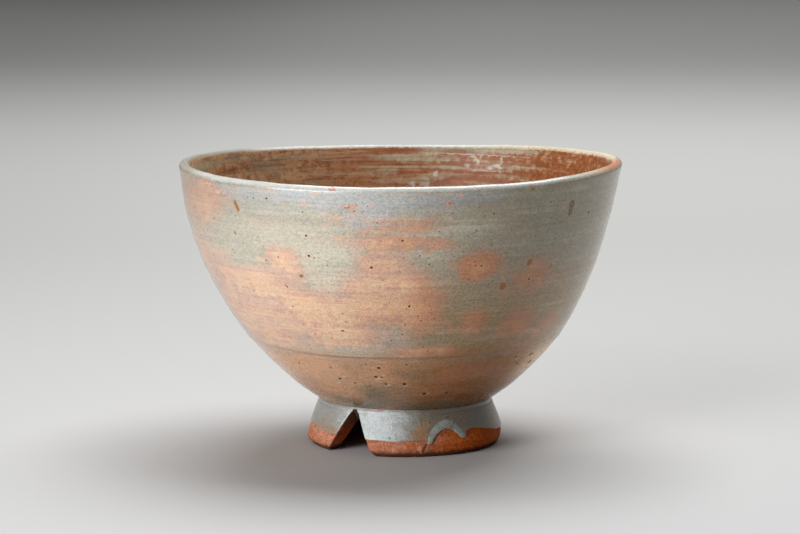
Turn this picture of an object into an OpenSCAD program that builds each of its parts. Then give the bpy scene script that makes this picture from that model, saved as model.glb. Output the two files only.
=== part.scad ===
// Tea bowl on a cut foot: a thrown stoneware bowl with a flared foot ring luted on with slip,
// glazed inside and out. Millimetres, +Z up, table at z = 0, axis of the bowl at the origin.
// The V cut in the foot points along -Y, and azimuths run from it towards +X.

/* [Bowl] */
// Diameter across the lip, over the glaze
bowl_d = 130; // [118:1:146]
// Height from the table to the lip, over the glaze
bowl_h = 82; // [74:1:92]
// Clay thickness at the lip
lip_t = 2.2; // [1.4:0.1:3.4]
// Clay thickness of the wall at the trimming line
wall_t = 4.6; // [3.4:0.1:6]
// Clay thickness of the floor at its centre
floor_t = 6; // [4.5:0.1:8]
// Slope of the wall at the lip, in degrees from the horizontal
lip_slope = 76; // [68:1:84]
// Slope of the wall just above the trimming line
belly_slope = 52; // [48:1:58]
// Fullness of the belly: the length of its curve's handles as a share of the chord
belly_fullness = 0.35; // [0.25:0.01:0.45]

/* [Trimmed lower wall] */
// Clay diameter at the trimming line
trim_d = 90.4; // [84:0.2:97]
// Height of the trimming line above the foot's joint
trim_rise = 18.9; // [16:0.1:22]
// Slope of the wall just below the trimming line
trim_slope = 47; // [43:1:50]
// Slope of the underside where the foot seats
seat_slope = 38; // [32:1:42]

/* [Foot] */
// Widest diameter of the foot, at the upright band round its base
foot_d = 56.8; // [54:0.2:60]
// Clay diameter of the foot at its joint with the bowl
foot_top_d = 50; // [46:0.2:52]
// Height of the joint above the table
foot_h = 13.4; // [11:0.2:16]
// Thickness of the foot's clay at the joint and at the table
foot_t = 5.2; // [3.6:0.1:6]
// Height of the top of the upright band
band_h = 3.6; // [3:0.1:4.5]
// Width of the bevel round the foot's lower edge
bevel_w = 1.2; // [0.5:0.1:2]
// Height of that bevel
bevel_h = 1.4; // [0.5:0.1:2.5]
// Width and height of the chamfer round the foot's inner edge
inner_chamfer = 0.6; // [0.2:0.1:1.2]
// How far the well's turned ceiling domes down towards the table
well_dome = 0.6; // [0:0.1:1.5]

/* [Cut in the foot] */
// Width of the V cut at the table
cut_w = 15.4; // [10:0.2:20]
// Width of the cut's root, at the joint
cut_root_w = 1.4; // [0.6:0.1:3]

/* [Slip and glaze] */
// Thickness of the slip that lutes the foot to the bowl
slip_t = 0.6; // [0.3:0.1:1]
// Width of the slip's bare line on either side of the joint
seam_w = 0.8; // [0.4:0.1:1.5]
// Thickness of the glaze
glaze_t = 0.4; // [0.2:0.05:0.8]
// Height of the glaze's lower edge on the foot, above the upright band
glaze_rise = 1.4; // [1:0.1:2.4]
// Number of throwing rings that show in the glaze inside, from the lip to the centre
ring_count = 12; // [4:1:16]
// Depth of those rings
ring_depth = 0.25; // [0.05:0.05:0.5]

/* [Finger mark on the foot] */
// Azimuth of the bare mark where the bowl was held for glazing
mark_azimuth = 62.5; // [45:0.5:150]
// Radius of the arch of thick glaze that ran round the mark
run_r = 5.8; // [5:0.1:7]
// Width of that run at its two ends
run_w = 1.6; // [1:0.1:2.2]
// How much wider the run is at its crown
run_crown = 1.4; // [0:0.1:2]
// Thickness of that run
run_t = 0.9; // [0.5:0.05:1.4]
// How far its two ends hang below the glaze's lower edge
run_drop = 0.8; // [0:0.1:1]

/* [Hidden] */
$fn = 96;

// Straight pieces in each stretch of the profile
belly_steps = 28;
trim_steps = 10;
lip_steps = 6;
floor_steps = 18;
well_steps = 5;
ring_steps = 6;
// Handles of the trimmed curve and of the floor's curve, as shares of their chords
trim_fullness = 1 / 3;
floor_fullness = 0.4;
// How far a cutting shape runs past what it cuts
past = 2;

// Directions in the profile plane: up a slope, and straight out of a face that climbs at it
function along(slope) = [cos(slope), sin(slope)];
function facing(slope) = [sin(slope), -cos(slope)];
function reversed(list) = [for (i = [len(list) - 1:-1:0]) list[i]];
function tail(list) = [for (i = [1:1:len(list) - 1]) list[i]];
function eased(s) = s * s * (3 - 2 * s);

// A cubic curve, kept as its four control points, that leaves a and reaches b at given slopes
function sweep(a, a_slope, b, b_slope, fullness) =
    let (handle = norm(b - a) * fullness)
    [a, a + along(a_slope) * handle, b - along(b_slope) * handle, b];
// The point at s (0 to 1) on such a curve, and the direction out of its right-hand side there
function at(c, s) =
    let (m = 1 - s)
    m * m * m * c[0] + 3 * m * m * s * c[1] + 3 * m * s * s * c[2] + s * s * s * c[3];
function out_at(c, s) =
    let (
        m = 1 - s,
        run = m * m * (c[1] - c[0]) + 2 * m * s * (c[2] - c[1]) + s * s * (c[3] - c[2])
    )
    [run.y, -run.x] / norm(run);
// Points along a curve, moved out of its right-hand side by a thickness
function skin(c, t, steps) = [for (i = [0:steps]) at(c, i / steps) + out_at(c, i / steps) * t];

// Lip: a round edge tangent to both faces of the wall
lip_r = lip_t / 2;
lip_centre = [bowl_d / 2 - glaze_t - lip_r, bowl_h - glaze_t - lip_r];
function lip_arc(from, to, r) = [
    for (i = [0:lip_steps])
        let (a = from + (to - from) * i / lip_steps)
        lip_centre + r * [cos(a), sin(a)]
];
function lip_outside(r) = lip_arc(lip_slope - 90, 90, r);
function lip_inside(r) = lip_arc(90, lip_slope + 90, r);

// Outside of the clay: a trimmed curve from the joint to the trimming line, then the belly
joint = [foot_top_d / 2, foot_h];
trim = [trim_d / 2, foot_h + trim_rise];
lower = sweep(joint, seat_slope, trim, trim_slope, trim_fullness);
belly = sweep(trim, belly_slope, lip_centre + lip_r * facing(lip_slope), lip_slope, belly_fullness);
function outside(t) = concat(
    skin(lower, t, trim_steps), tail(skin(belly, t, belly_steps)), tail(lip_outside(lip_r + t))
);

// Seat of the foot: the cone that carries on inwards from the joint, with the slip below it
well_r = joint.x - foot_t;
well_edge = joint - [foot_t, foot_t * tan(seat_slope)];
slip_drop = [0, slip_t / cos(seat_slope)];
well_centre = well_edge - [well_r, well_dome];
well_face = [
    for (i = [0:well_steps])
        let (s = i / well_steps)
        well_centre + [well_r * s, well_dome * s * s]
];

// Inside of the clay: the wall thins evenly to the lip, and the floor is one shallow pool
function clay_at(s) = wall_t + (lip_t - wall_t) * eased(s);
function wall_inside(s, t) = at(belly, s) - out_at(belly, s) * (clay_at(s) + t);
floor_centre = well_centre + [0, floor_t];
pool = sweep(wall_inside(0, 0), belly_slope + 180, floor_centre, 180, floor_fullness);
// The point at u (0 at the lip, 1 at the centre) on the inside, over a thickness of glaze
function inside(u, t) = u < 0.5
    ? wall_inside(1 - 2 * u, t)
    : at(pool, 2 * u - 1) + out_at(pool, 2 * u - 1) * t;
function inside_steps(i) = i < belly_steps
    ? i / belly_steps / 2
    : 0.5 + (i - belly_steps) / floor_steps / 2;
clay_inside = concat(
    lip_inside(lip_r), [for (i = [1:belly_steps + floor_steps]) inside(inside_steps(i), 0)]
);
// Over the throwing rings the glaze thickens and thins
function ring_at(u) = ring_depth * (1 - cos(360 * ring_count * u)) / 2;
front_steps = ring_count * ring_steps;
glaze_inside = concat(
    lip_inside(lip_r + glaze_t),
    [for (i = [1:front_steps]) inside(i / front_steps, glaze_t + ring_at(i / front_steps))]
);

// Outer wall of the foot, from the upright band up to the slip
foot_low = [foot_d / 2, band_h];
foot_high = joint - slip_drop;
foot_run = (foot_high - foot_low) / norm(foot_high - foot_low);
foot_out = [foot_run.y, -foot_run.x];
function foot_wall_at(z) = foot_low + foot_run * (z - foot_low.y) / foot_run.y;
glaze_line_h = band_h + glaze_rise;
// Ends of the bare line of slip, on the foot and on the bowl's first conical facet
first_facet = at(lower, 1 / trim_steps) - joint;
seam_low = foot_high - foot_run * seam_w;
seam_high = joint + first_facet / norm(first_facet) * seam_w;

// A skin on the foot's outer wall, from a height up to the bare line
module foot_skin(from_z, t) {
    low = foot_wall_at(from_z);
    rotate_extrude()
        polygon([low, low + foot_out * t, seam_low + foot_out * t, seam_low]);
}

// Place a shape drawn in X and height so that it cuts outwards through the foot at an azimuth
module through_foot(azimuth) {
    start = well_r / 2;
    rotate([0, 0, azimuth])
        translate([0, -start, 0])
            rotate([90, 0, 0])
                linear_extrude(foot_d / 2 + run_t + past - start)
                    children();
}

// The V that the knife takes out of the foot
module foot_cut() {
    spread = (cut_w - cut_root_w) / 2 / foot_h;
    low = cut_w / 2 + spread * past;
    high = cut_root_w / 2;
    through_foot(0)
        polygon([[-low, -past], [low, -past], [high, foot_h], [-high, foot_h]]);
}

// A round through the foot at the finger mark, with its centre on the glaze's lower edge or below it
module mark(r, below = 0) {
    through_foot(mark_azimuth)
        translate([0, glaze_line_h - below])
            rotate(-90)
                circle(r);
}

// Thrown and trimmed wall, floor and lip, in bare clay
module bowl_wall() {
    color("#b27a55")
        rotate_extrude()
            polygon(concat(well_face, outside(0), tail(clay_inside)));
}

// Flared foot ring, bevelled at the table and cut through once
module foot_ring() {
    inner_r = foot_d / 2 - foot_t;
    color("#b0623c")
        difference() {
            rotate_extrude()
                polygon([
                    [inner_r + inner_chamfer, 0],
                    [foot_d / 2 - bevel_w, 0],
                    [foot_d / 2, bevel_h],
                    foot_low,
                    foot_high,
                    well_edge - slip_drop,
                    [inner_r, inner_chamfer]
                ]);
            foot_cut();
        }
}

// Slip between the foot and the bowl, with the bead squeezed out round the joint
module joint_slip() {
    color("#b5714d")
        difference() {
            rotate_extrude()
                polygon([
                    well_edge - slip_drop, foot_high, seam_low, seam_high, joint, well_edge
                ]);
            foot_cut();
        }
}

// Glaze over the outside, from the bare line of slip to the crest of the lip
module outer_glaze() {
    clay = concat([seam_high], tail(outside(0)));
    front = concat([seam_high + facing(seat_slope) * glaze_t], tail(outside(glaze_t)));
    color("#a9a18f")
        rotate_extrude()
            polygon(concat(clay, reversed(front)));
}

// Glaze over the inside, rippled by the throwing rings
module inner_glaze() {
    color("#8f5f43")
        rotate_extrude()
            polygon(concat(clay_inside, reversed(glaze_inside)));
}

// Glaze on the foot's outer wall, cut with the foot and bare at the finger mark
module foot_glaze() {
    color("#a8a9a2")
        difference() {
            foot_skin(glaze_line_h, glaze_t);
            foot_cut();
            mark(run_r);
        }
}

// Arch of thick glaze that ran round the finger mark
module glaze_run() {
    color("#b3b8b4")
        intersection() {
            foot_skin(glaze_line_h - run_drop, run_t);
            difference() {
                mark(run_r);
                mark(run_r - run_w, run_crown);
            }
        }
}

bowl_wall();
foot_ring();
joint_slip();
outer_glaze();
inner_glaze();
foot_glaze();
glaze_run();
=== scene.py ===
# %% [markdown]
# # A tea bowl on a cut foot
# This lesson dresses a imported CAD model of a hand-thrown stoneware tea bowl. The CAD model is the frame:
# it fixes the size and place of each piece, in metres, with the table at z = 0 and the V cut in the foot
# on the -Y side. Blender then makes each piece again as the potter's hands and the kiln left it, a
# little off centre, with throwing marks, runs of glaze and blushes.

# %% Load the frame
import math

import bpy
import numpy as np
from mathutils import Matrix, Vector, noise


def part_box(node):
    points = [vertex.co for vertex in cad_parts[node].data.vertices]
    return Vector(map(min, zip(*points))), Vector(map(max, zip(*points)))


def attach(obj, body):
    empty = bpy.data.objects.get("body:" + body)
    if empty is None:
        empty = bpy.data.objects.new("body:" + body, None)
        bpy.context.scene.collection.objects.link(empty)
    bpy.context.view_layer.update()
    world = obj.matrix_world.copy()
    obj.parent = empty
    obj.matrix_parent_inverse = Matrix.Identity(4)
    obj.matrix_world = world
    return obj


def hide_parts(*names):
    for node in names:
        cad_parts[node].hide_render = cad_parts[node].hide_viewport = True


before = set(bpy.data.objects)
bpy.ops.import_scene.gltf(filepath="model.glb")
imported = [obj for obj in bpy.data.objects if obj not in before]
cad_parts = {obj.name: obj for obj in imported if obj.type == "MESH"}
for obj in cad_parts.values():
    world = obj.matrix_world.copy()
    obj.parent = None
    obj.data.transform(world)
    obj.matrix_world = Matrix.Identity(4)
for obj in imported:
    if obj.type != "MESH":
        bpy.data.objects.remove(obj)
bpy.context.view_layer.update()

MM = 0.001
print("CAD nodes:", sorted(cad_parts))

# %% [markdown]
# ## The photograph's view
# The bowl was photographed from a little above the lip with a long lens, with the cut in the foot to the
# left of the middle. A camera is easiest to set from measured facts: how far it stands from the bowl's
# axis, how high, and how far it tips down. VIEW_TURN is the angle round the bowl from the cut to the
# camera. Everything that has to be seen in one place in the photograph, such as a lamp or a blush, is
# given relative to that side, so three directions are kept: right, towards the camera, and up.

# %% Camera
VIEW_TURN = math.radians(36.6)
RIGHT = Vector((math.cos(VIEW_TURN), math.sin(VIEW_TURN), 0))
TOWARDS = Vector((math.sin(VIEW_TURN), -math.cos(VIEW_TURN), 0))
UP = Vector((0, 0, 1))
CAMERA_AWAY = 833.4 * MM
CAMERA_HEIGHT = 165 * MM
CAMERA_ASIDE = -1.55 * MM
CAMERA_TIP = math.radians(7.763)
LENS = 128.9


def seen_at(right, towards, up):
    """A point in the frame, from distances in the photograph's own directions."""
    return RIGHT * right + TOWARDS * towards + UP * up


bpy.ops.object.select_all(action="DESELECT")
bpy.ops.object.camera_add(
    location=seen_at(CAMERA_ASIDE, CAMERA_AWAY, CAMERA_HEIGHT),
    rotation=(math.pi / 2 - CAMERA_TIP, 0, VIEW_TURN),
)
camera = bpy.context.object
camera.name = "camera"
camera.data.lens = LENS
camera.data.sensor_width = 36
camera.data.clip_start = 0.01
camera.data.clip_end = 50
bpy.context.scene.camera = camera
bpy.context.scene.view_settings.view_transform = "Standard"
print("camera at", [round(v, 3) for v in camera.location])

# %% [markdown]
# ## Sizes of the profile
# A thrown pot is a profile turned round an axis. These are the sizes of that profile, as a potter would
# take them off with callipers. The widest and highest come from the frame, so the dressed bowl can't
# drift away from the CAD bowl.

# %% Profile sizes
outer_low, outer_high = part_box("outer_glaze")
BOWL_R = (outer_high.x - outer_low.x) / 2
BOWL_H = outer_high.z
FOOT_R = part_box("foot_ring")[1].x
GLAZE_T = 0.4 * MM
LIP_R = 1.1 * MM
LIP_SLOPE = 76
BELLY_SLOPE = 52
BELLY_FULLNESS = 0.35
TRIM_R = 45.2 * MM
TRIM_H = 32.3 * MM
TRIM_SLOPE = 47
TRIM_FULLNESS = 1 / 3
JOINT_R = 25 * MM
JOINT_H = 13.4 * MM
SEAT_SLOPE = 38
SEAM_W = 0.8 * MM
WALL_T = 4.6 * MM
FLOOR_H = 14.74 * MM
POOL_FULLNESS = 0.4
FOOT_T = 5.2 * MM
BAND_H = 3.6 * MM
BEVEL_W = 1.2 * MM
BEVEL_H = 1.4 * MM
FOOT_TOP_H = 12.64 * MM
WELL_R = 19.8 * MM
WELL_EDGE_H = 9.34 * MM
WELL_H = 8.74 * MM
GLAZE_LINE_H = 5 * MM
print("bowl radius and height in mm:", round(BOWL_R / MM, 2), round(BOWL_H / MM, 2))

# %% [markdown]
# ## Drawing with the pen
# Blender's Bezier curve is a good pen for a profile: two knots and their handles hold a whole stretch of
# wall, and the slope at each knot can be set like the slope of the clay. Converted to a mesh it becomes
# a line of vertices. The fineness of each stroke is its own, so the face that shows is fine and the
# hidden back of a glaze coat is coarse.

# %% Strokes


def along(slope):
    """One step up a slope, in the profile plane."""
    return Vector((math.cos(math.radians(slope)), 0, math.sin(math.radians(slope))))


def facing(slope):
    """One step straight out of a wall that climbs at a slope."""
    return Vector((math.sin(math.radians(slope)), 0, -math.cos(math.radians(slope))))


def spot(radius, height):
    return Vector((radius, 0, height))


def curved(start, start_slope, end, end_slope, fullness):
    """A stroke that leaves its start and reaches its end at given slopes."""
    reach = (end - start).length * fullness
    leave = start + along(start_slope) * reach
    arrive = end - along(end_slope) * reach
    return [(start, start, leave), (end, arrive, end)]


def straight(start, end):
    third = (end - start) / 3
    return [(start, start, start + third), (end, end - third, end)]


def rounded(centre, radius, from_angle, to_angle):
    """A stroke along an arc, with the handles that keep a Bezier close to a circle."""
    turn = math.radians(to_angle - from_angle)
    reach = radius * 4 / 3 * math.tan(turn / 4)
    start = centre + along(from_angle) * radius
    end = centre + along(to_angle) * radius
    leave = start + along(from_angle + 90) * reach
    arrive = end - along(to_angle + 90) * reach
    return [(start, start, leave), (end, arrive, end)]


def split(stroke, share):
    """Cut a stroke in two, as a share of the way along its parameter, without changing its shape."""
    (start, _, leave), (end, arrive, _) = stroke
    first = start.lerp(leave, share)
    middle = leave.lerp(arrive, share)
    last = arrive.lerp(end, share)
    before = first.lerp(middle, share)
    after = middle.lerp(last, share)
    place = before.lerp(after, share)
    return [(start, start, first), (place, before, place)], [(place, place, after), (end, last, end)]


def backwards(stroke):
    return [(place, after, before) for place, before, after in reversed(stroke)]


print("one step up a slope of 45 is", [round(v, 3) for v in along(45)])

# %% The pen


def new_pen(name):
    """A Bezier curve object that has no strokes yet."""
    bpy.ops.object.select_all(action="DESELECT")
    bpy.ops.curve.primitive_bezier_curve_add(location=(0, 0, 0))
    pen = bpy.context.object
    pen.name = name
    pen.data.name = name
    pen.data.splines.clear()
    return pen


def draw(name, strokes):
    """Draw strokes of given fineness and join them into one line of vertices."""
    pen = new_pen(name)
    for fineness, knots in strokes:
        line = pen.data.splines.new("BEZIER")
        line.resolution_u = fineness
        line.bezier_points.add(len(knots) - 1)
        for knot, (place, before, after) in zip(line.bezier_points, knots):
            knot.handle_left_type = "FREE"
            knot.handle_right_type = "FREE"
            knot.co = place
            knot.handle_left = before
            knot.handle_right = after
    bpy.ops.object.convert(target="MESH")
    return bpy.context.object


print("a stroke has", len(straight(spot(0, 0), spot(0, 1))), "knots")

# %% [markdown]
# ## Throwing on the wheel
# The wheel turns the drawn line round the axis. Spin could do that, but the Screw modifier does the same
# in one step and stays quick with hundreds of steps. Afterwards the hands take over: press moves
# vertices by a rule, and mark keeps a value with each vertex for the materials to read. Doubled vertices
# are welded before and after, so that every piece is one closed skin.

# %% The wheel and the hands
WELD = 0.002 * MM


def weld():
    """Join doubled vertices of the active piece and point its faces outwards."""
    bpy.ops.object.mode_set(mode="EDIT")
    bpy.ops.mesh.select_all(action="SELECT")
    bpy.ops.mesh.remove_doubles(threshold=WELD)
    bpy.ops.mesh.normals_make_consistent(inside=False)
    bpy.ops.object.mode_set(mode="OBJECT")


def work(piece, tool, **settings):
    """Add a modifier to the active piece, set it and apply it."""
    bpy.ops.object.modifier_add(type=tool)
    modifier = piece.modifiers[-1]
    for key, value in settings.items():
        setattr(modifier, key, value)
    bpy.ops.object.modifier_apply(modifier=modifier.name)


def throw(line, steps):
    """Turn a drawn line once round the axis and close its seam."""
    weld()
    work(line, "SCREW", axis="Z", steps=steps, render_steps=steps)
    weld()
    bpy.ops.object.shade_smooth()


def places_of(piece):
    """The places of a piece's vertices, as rows of x, y and z."""
    flat = np.empty(len(piece.data.vertices) * 3)
    piece.data.vertices.foreach_get("co", flat)
    return flat.reshape(-1, 3)


def press(piece, rule):
    """Move the vertices by a rule that is given their places and returns new ones."""
    piece.data.vertices.foreach_set("co", rule(places_of(piece)).ravel())
    piece.data.update()


def mark(piece, name, rule):
    """Keep a value for each vertex, worked out from its place by a rule, for the materials to read."""
    kept = piece.data.attributes.new(name, "FLOAT", "POINT")
    kept.data.foreach_set("value", rule(places_of(piece)))


def told(piece):
    """Print what a finished piece is made of."""
    sides = [len(face.vertices) - 2 for face in piece.data.polygons]
    print(piece.name, "has", len(piece.data.vertices), "vertices and", sum(sides), "triangles")


print("seams are closed within", round(WELD / MM, 4), "mm")

# %% [markdown]
# ## The hand of the potter
# No thrown bowl is quite true. Seen from the photograph's side this one leans about two millimetres to
# the left above the foot, its lip dips at the front and back and rises at the sides, and it keeps faint
# waves. The wall and its two glazes get the same lean, from one rule, so that glaze and clay stay
# together.

# %% Lean and waver of the bowl
LEAN_FROM_H = 14 * MM
LEAN_FULL_H = 66 * MM
LEAN_FULL = -1.9 * MM
LEAN_LIP = -1.4 * MM
LIP_TILT = 0.0038
LIP_WAVE = 0.18 * MM
LIP_WAVES = [(0.5, 3, 0.8), (0.35, 5, 2.1), (0.3, 8, 0.3), (0.2, 17, 1.2), (0.14, 31, 2.6)]
LIP_SADDLE = 0.75 * MM
LIP_PEAK_TURN = 1.4
LIP_PEAK_W = 0.4
LIP_DRAW_IN = 0.007
LIP_DRAW_H = 14 * MM


def eased(value, low, high):
    """0 below low, 1 above high, and smooth between."""
    s = np.clip((value - low) / (high - low), 0, 1)
    return s * s * (3 - 2 * s)


def lean_at(height):
    up = eased(height, LEAN_FROM_H, LEAN_FULL_H)
    back = eased(height, LEAN_FULL_H, BOWL_H)
    return LEAN_FULL * up + (LEAN_LIP - LEAN_FULL) * back


def settle(places):
    """Lean, tilt and wave the upper bowl as it stood when it came off the wheel."""
    x, y, z = places.T
    right = x * RIGHT.x + y * RIGHT.y
    turn = np.arctan2(right, x * TOWARDS.x + y * TOWARDS.y)
    upper = eased(z, TRIM_H, BOWL_H)
    wave = sum(share * np.sin(count * turn + phase) for share, count, phase in LIP_WAVES)
    lean = lean_at(z)
    saddle = 0.5 - np.cos(2 * turn) + 0.5 * np.exp(-((turn - LIP_PEAK_TURN) / LIP_PEAK_W) ** 2)
    lift = upper * (right * LIP_TILT + wave * LIP_WAVE + saddle * LIP_SADDLE)
    drawn = 1 - LIP_DRAW_IN * eased(z, BOWL_H - LIP_DRAW_H, BOWL_H)
    return np.stack([x * drawn + lean * RIGHT.x, y * drawn + lean * RIGHT.y, z + lift], axis=1)


print("lean at the belly in mm:", round(float(lean_at(LEAN_FULL_H)) / MM, 2))

# %% [markdown]
# ## The clay wall
# Under its glaze the bowl is one piece of clay: a turned well inside the foot, a seat for the foot, the
# trimmed curve, the belly, the rounded lip, and the inside down to a shallow pool. Only the well shows,
# so its strokes are coarse. It is drawn a hair inside the glaze, so that no two faces share a place.

# %% Clay wall
HAIR = 0.03 * MM
WALL_STEPS = 128
WELL_SLOPE = 4
lip_centre = spot(BOWL_R - GLAZE_T - LIP_R, BOWL_H - GLAZE_T - LIP_R)
joint = spot(JOINT_R, JOINT_H)
trim = spot(TRIM_R, TRIM_H)
lip_outside = lip_centre + facing(LIP_SLOPE) * LIP_R
inner_lip = lip_centre - facing(LIP_SLOPE) * LIP_R
inner_trim = trim - facing(BELLY_SLOPE) * WALL_T
floor_middle = spot(0, FLOOR_H)


def trimmed_face(lift, start=joint):
    low = start + facing(SEAT_SLOPE) * lift
    high = trim + facing(TRIM_SLOPE) * lift
    return curved(low, SEAT_SLOPE, high, TRIM_SLOPE, TRIM_FULLNESS)


def belly_face(lift):
    low = trim + facing(TRIM_SLOPE) * lift
    high = lip_outside + facing(LIP_SLOPE) * lift
    return curved(low, BELLY_SLOPE, high, LIP_SLOPE, BELLY_FULLNESS)


def inner_wall(lift):
    high = inner_lip - facing(LIP_SLOPE) * lift
    low = inner_trim - facing(BELLY_SLOPE) * lift
    return curved(high, LIP_SLOPE + 180, low, BELLY_SLOPE + 180, BELLY_FULLNESS)


def pool_face(lift):
    high = inner_trim - facing(BELLY_SLOPE) * lift
    low = floor_middle + UP * lift
    return curved(high, BELLY_SLOPE + 180, low, 180, POOL_FULLNESS)


def lip_half(lift, outside):
    turns = (LIP_SLOPE - 90, 90) if outside else (90, LIP_SLOPE + 90)
    return rounded(lip_centre, LIP_R + lift, *turns)


well_middle = spot(0, WELL_H)
well_edge = spot(WELL_R, WELL_EDGE_H)
seat = joint + facing(SEAT_SLOPE) * -HAIR
wall = draw("bowl_clay", [
    (8, curved(well_middle, 0, well_edge, WELL_SLOPE, 1 / 3)),
    (4, straight(well_edge, seat)),
    (16, trimmed_face(-HAIR)),
    (24, belly_face(-HAIR)),
    (6, lip_half(-HAIR, True)),
    (6, lip_half(-HAIR, False)),
    (24, inner_wall(-HAIR)),
    (16, pool_face(-HAIR)),
])
throw(wall, WALL_STEPS)
press(wall, settle)
told(wall)

# %% [markdown]
# ## The outer glaze
# The glaze coat outside is a skin less than half a millimetre thick, from the bare line at the foot to
# the crest of the lip. It has to be a closed shell, so its profile goes up the front, over the lip and
# back down the clay, with the finest strokes round the trimming line. After throwing, small moves of the
# vertices add what the potter's tools left: faint throwing waves in the belly, the ledge where the
# trimming tool stopped, and a curve that is a little fuller than the drawn one.

# %% Marks of the tools
LEDGE_DEPTH = 0.2 * MM
LEDGE_SOFT = 0.35 * MM
LOWER_FULL = 0.9 * MM
UPPER_FULL = 0.4 * MM
LOWER_FULL_H = (JOINT_H, 19 * MM, 24 * MM, 38 * MM)
UPPER_FULL_H = (44 * MM, 57 * MM, 66 * MM, 78 * MM)
THROW_WAVE = 0.04 * MM
WAVE_PITCH = 7.3 * MM
RIPPLE_PITCH = 2.7 * MM
WAVE_CLIMB = 1.2 * MM
CREASE_W = 0.32 * MM
TRIM_WAVER = 0.25 * MM
LEDGE_FADE_H = 8 * MM
WAVE_TOP_H = (BOWL_H - 6 * MM, BOWL_H - 2 * MM)
seam_high = joint + along(SEAT_SLOPE) * SEAM_W


def trim_line(x, y):
    """Height of the trimming line, which wavers a little round the bowl."""
    turn = np.arctan2(y, x)
    return TRIM_H + TRIM_WAVER * (np.sin(turn * 2 + 0.6) + 0.48 * np.sin(turn * 7 + 1.9))


def creased(places):
    """1 in the crease under the trimming line, where the finish paints shade, and 0 away from it."""
    x, y, z = places.T
    return np.exp(-((z - trim_line(x, y) + LEDGE_SOFT) / CREASE_W) ** 2)


def thrown_height(places):
    """Height in millimetres before the bowl settled, by which the lip is found."""
    return places[:, 2] / MM


def swollen(z, start, full, fading, end):
    """1 between two heights, with a smooth rise below them and a smooth fall above."""
    return eased(z, start, full) * (1 - eased(z, fading, end))


def tooled_outside(places):
    """Throwing waves above the trimming line, a thin ledge at it, and a wall fuller below and above."""
    x, y, z = places.T
    radius = np.hypot(x, y)
    turn = np.arctan2(y, x)
    line = trim_line(x, y)
    below = 1 - eased(z, line - LEDGE_SOFT, line)
    fade = eased(z, JOINT_H, JOINT_H + LEDGE_FADE_H)
    climb = (z + WAVE_CLIMB * turn / math.tau) * math.tau
    wave = np.sin(climb / WAVE_PITCH) + 0.25 * np.sin(climb / RIPPLE_PITCH + turn * 3)
    above = (1 - below) * (1 - eased(z, *WAVE_TOP_H))
    full = LOWER_FULL * swollen(z, *LOWER_FULL_H) + UPPER_FULL * swollen(z, *UPPER_FULL_H)
    grow = 1 + (THROW_WAVE * wave * above - LEDGE_DEPTH * below * fade + full) / radius
    return np.stack([x * grow, y * grow, z], axis=1)


print("trimming line over the cut in mm:", round(float(trim_line(0, -1)) / MM, 2))

# %% Outer glaze skin
SKIN_STEPS = 448
FINE_FROM = 0.86
FINE_TO = 0.08
crest = lip_centre + UP * (LIP_R + GLAZE_T)
trimmed_low, trimmed_top = split(trimmed_face(GLAZE_T, seam_high), FINE_FROM)
belly_low, belly_top = split(belly_face(GLAZE_T), FINE_TO)
outer_skin = draw("outer_glaze_skin", [
    (46, trimmed_low),
    (20, trimmed_top),
    (16, belly_low),
    (76, belly_top),
    (10, lip_half(GLAZE_T, True)),
    (1, straight(crest, crest - UP * GLAZE_T)),
    (3, backwards(lip_half(0, True))),
    (8, backwards(belly_face(0))),
    (5, backwards(trimmed_face(0, seam_high))),
    (1, straight(seam_high, seam_high + facing(SEAT_SLOPE) * GLAZE_T)),
])
throw(outer_skin, SKIN_STEPS)
mark(outer_skin, "crease", creased)
mark(outer_skin, "thrown", thrown_height)
press(outer_skin, tooled_outside)
press(outer_skin, settle)
told(outer_skin)

# %% [markdown]
# ## The inner glaze
# Inside, the fingers that lifted the wall left one long spiral groove from the middle of the floor to
# the lip. A spiral is a wave whose phase also follows the turn: after one full turn it has climbed by
# exactly one pitch, so the groove joins up with itself.

# %% Inner glaze skin
RING_PITCH = 6.4 * MM
RING_DEPTH = 0.28 * MM
RING_TOP_H = (BOWL_H - 7 * MM, BOWL_H - 1 * MM)
RING_MIDDLE_R = (2 * MM, 9 * MM)
RING_DRIFT = 9 * MM
INWARD = 0.55


def fingered_inside(places):
    """Press the throwing spiral into the face that shows."""
    x, y, z = places.T
    radius = np.hypot(x, y)
    turn = np.arctan2(y, x)
    travel = radius * INWARD + z
    phase = travel / RING_PITCH * math.tau - turn
    fade = eased(radius, *RING_MIDDLE_R) * (1 - eased(z, *RING_TOP_H))
    uneven = 0.75 + 0.25 * np.sin(2 * turn + travel / RING_DRIFT)
    press_in = RING_DEPTH * (np.cos(phase) - 1) / 2 * fade * uneven
    grow = 1 - press_in / np.maximum(radius, 1 * MM) * 0.8
    return np.stack([x * grow, y * grow, z + press_in * 0.4], axis=1)


inner_skin = draw("inner_glaze_skin", [
    (10, lip_half(GLAZE_T, False)),
    (76, inner_wall(GLAZE_T)),
    (64, pool_face(GLAZE_T)),
    (1, straight(floor_middle + UP * GLAZE_T, floor_middle)),
    (6, backwards(pool_face(0))),
    (6, backwards(inner_wall(0))),
    (3, backwards(lip_half(0, False))),
    (1, straight(crest - UP * GLAZE_T, crest)),
])
throw(inner_skin, SKIN_STEPS)
mark(inner_skin, "thrown", thrown_height)
press(inner_skin, fingered_inside)
press(inner_skin, settle)
told(inner_skin)

# %% [markdown]
# ## The foot ring
# The foot was thrown as a ring, luted on, and cut through once with a knife. Its profile is drawn and
# turned like the wall. A cube with its corners moved becomes the wedge that the knife took out, and a
# Boolean takes it away. Boolean edges are razor sharp, which fired clay never is, so a voxel Remesh and
# a Smooth round every edge a little and leave even faces, which can then be roughened as sandy clay is.

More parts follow.
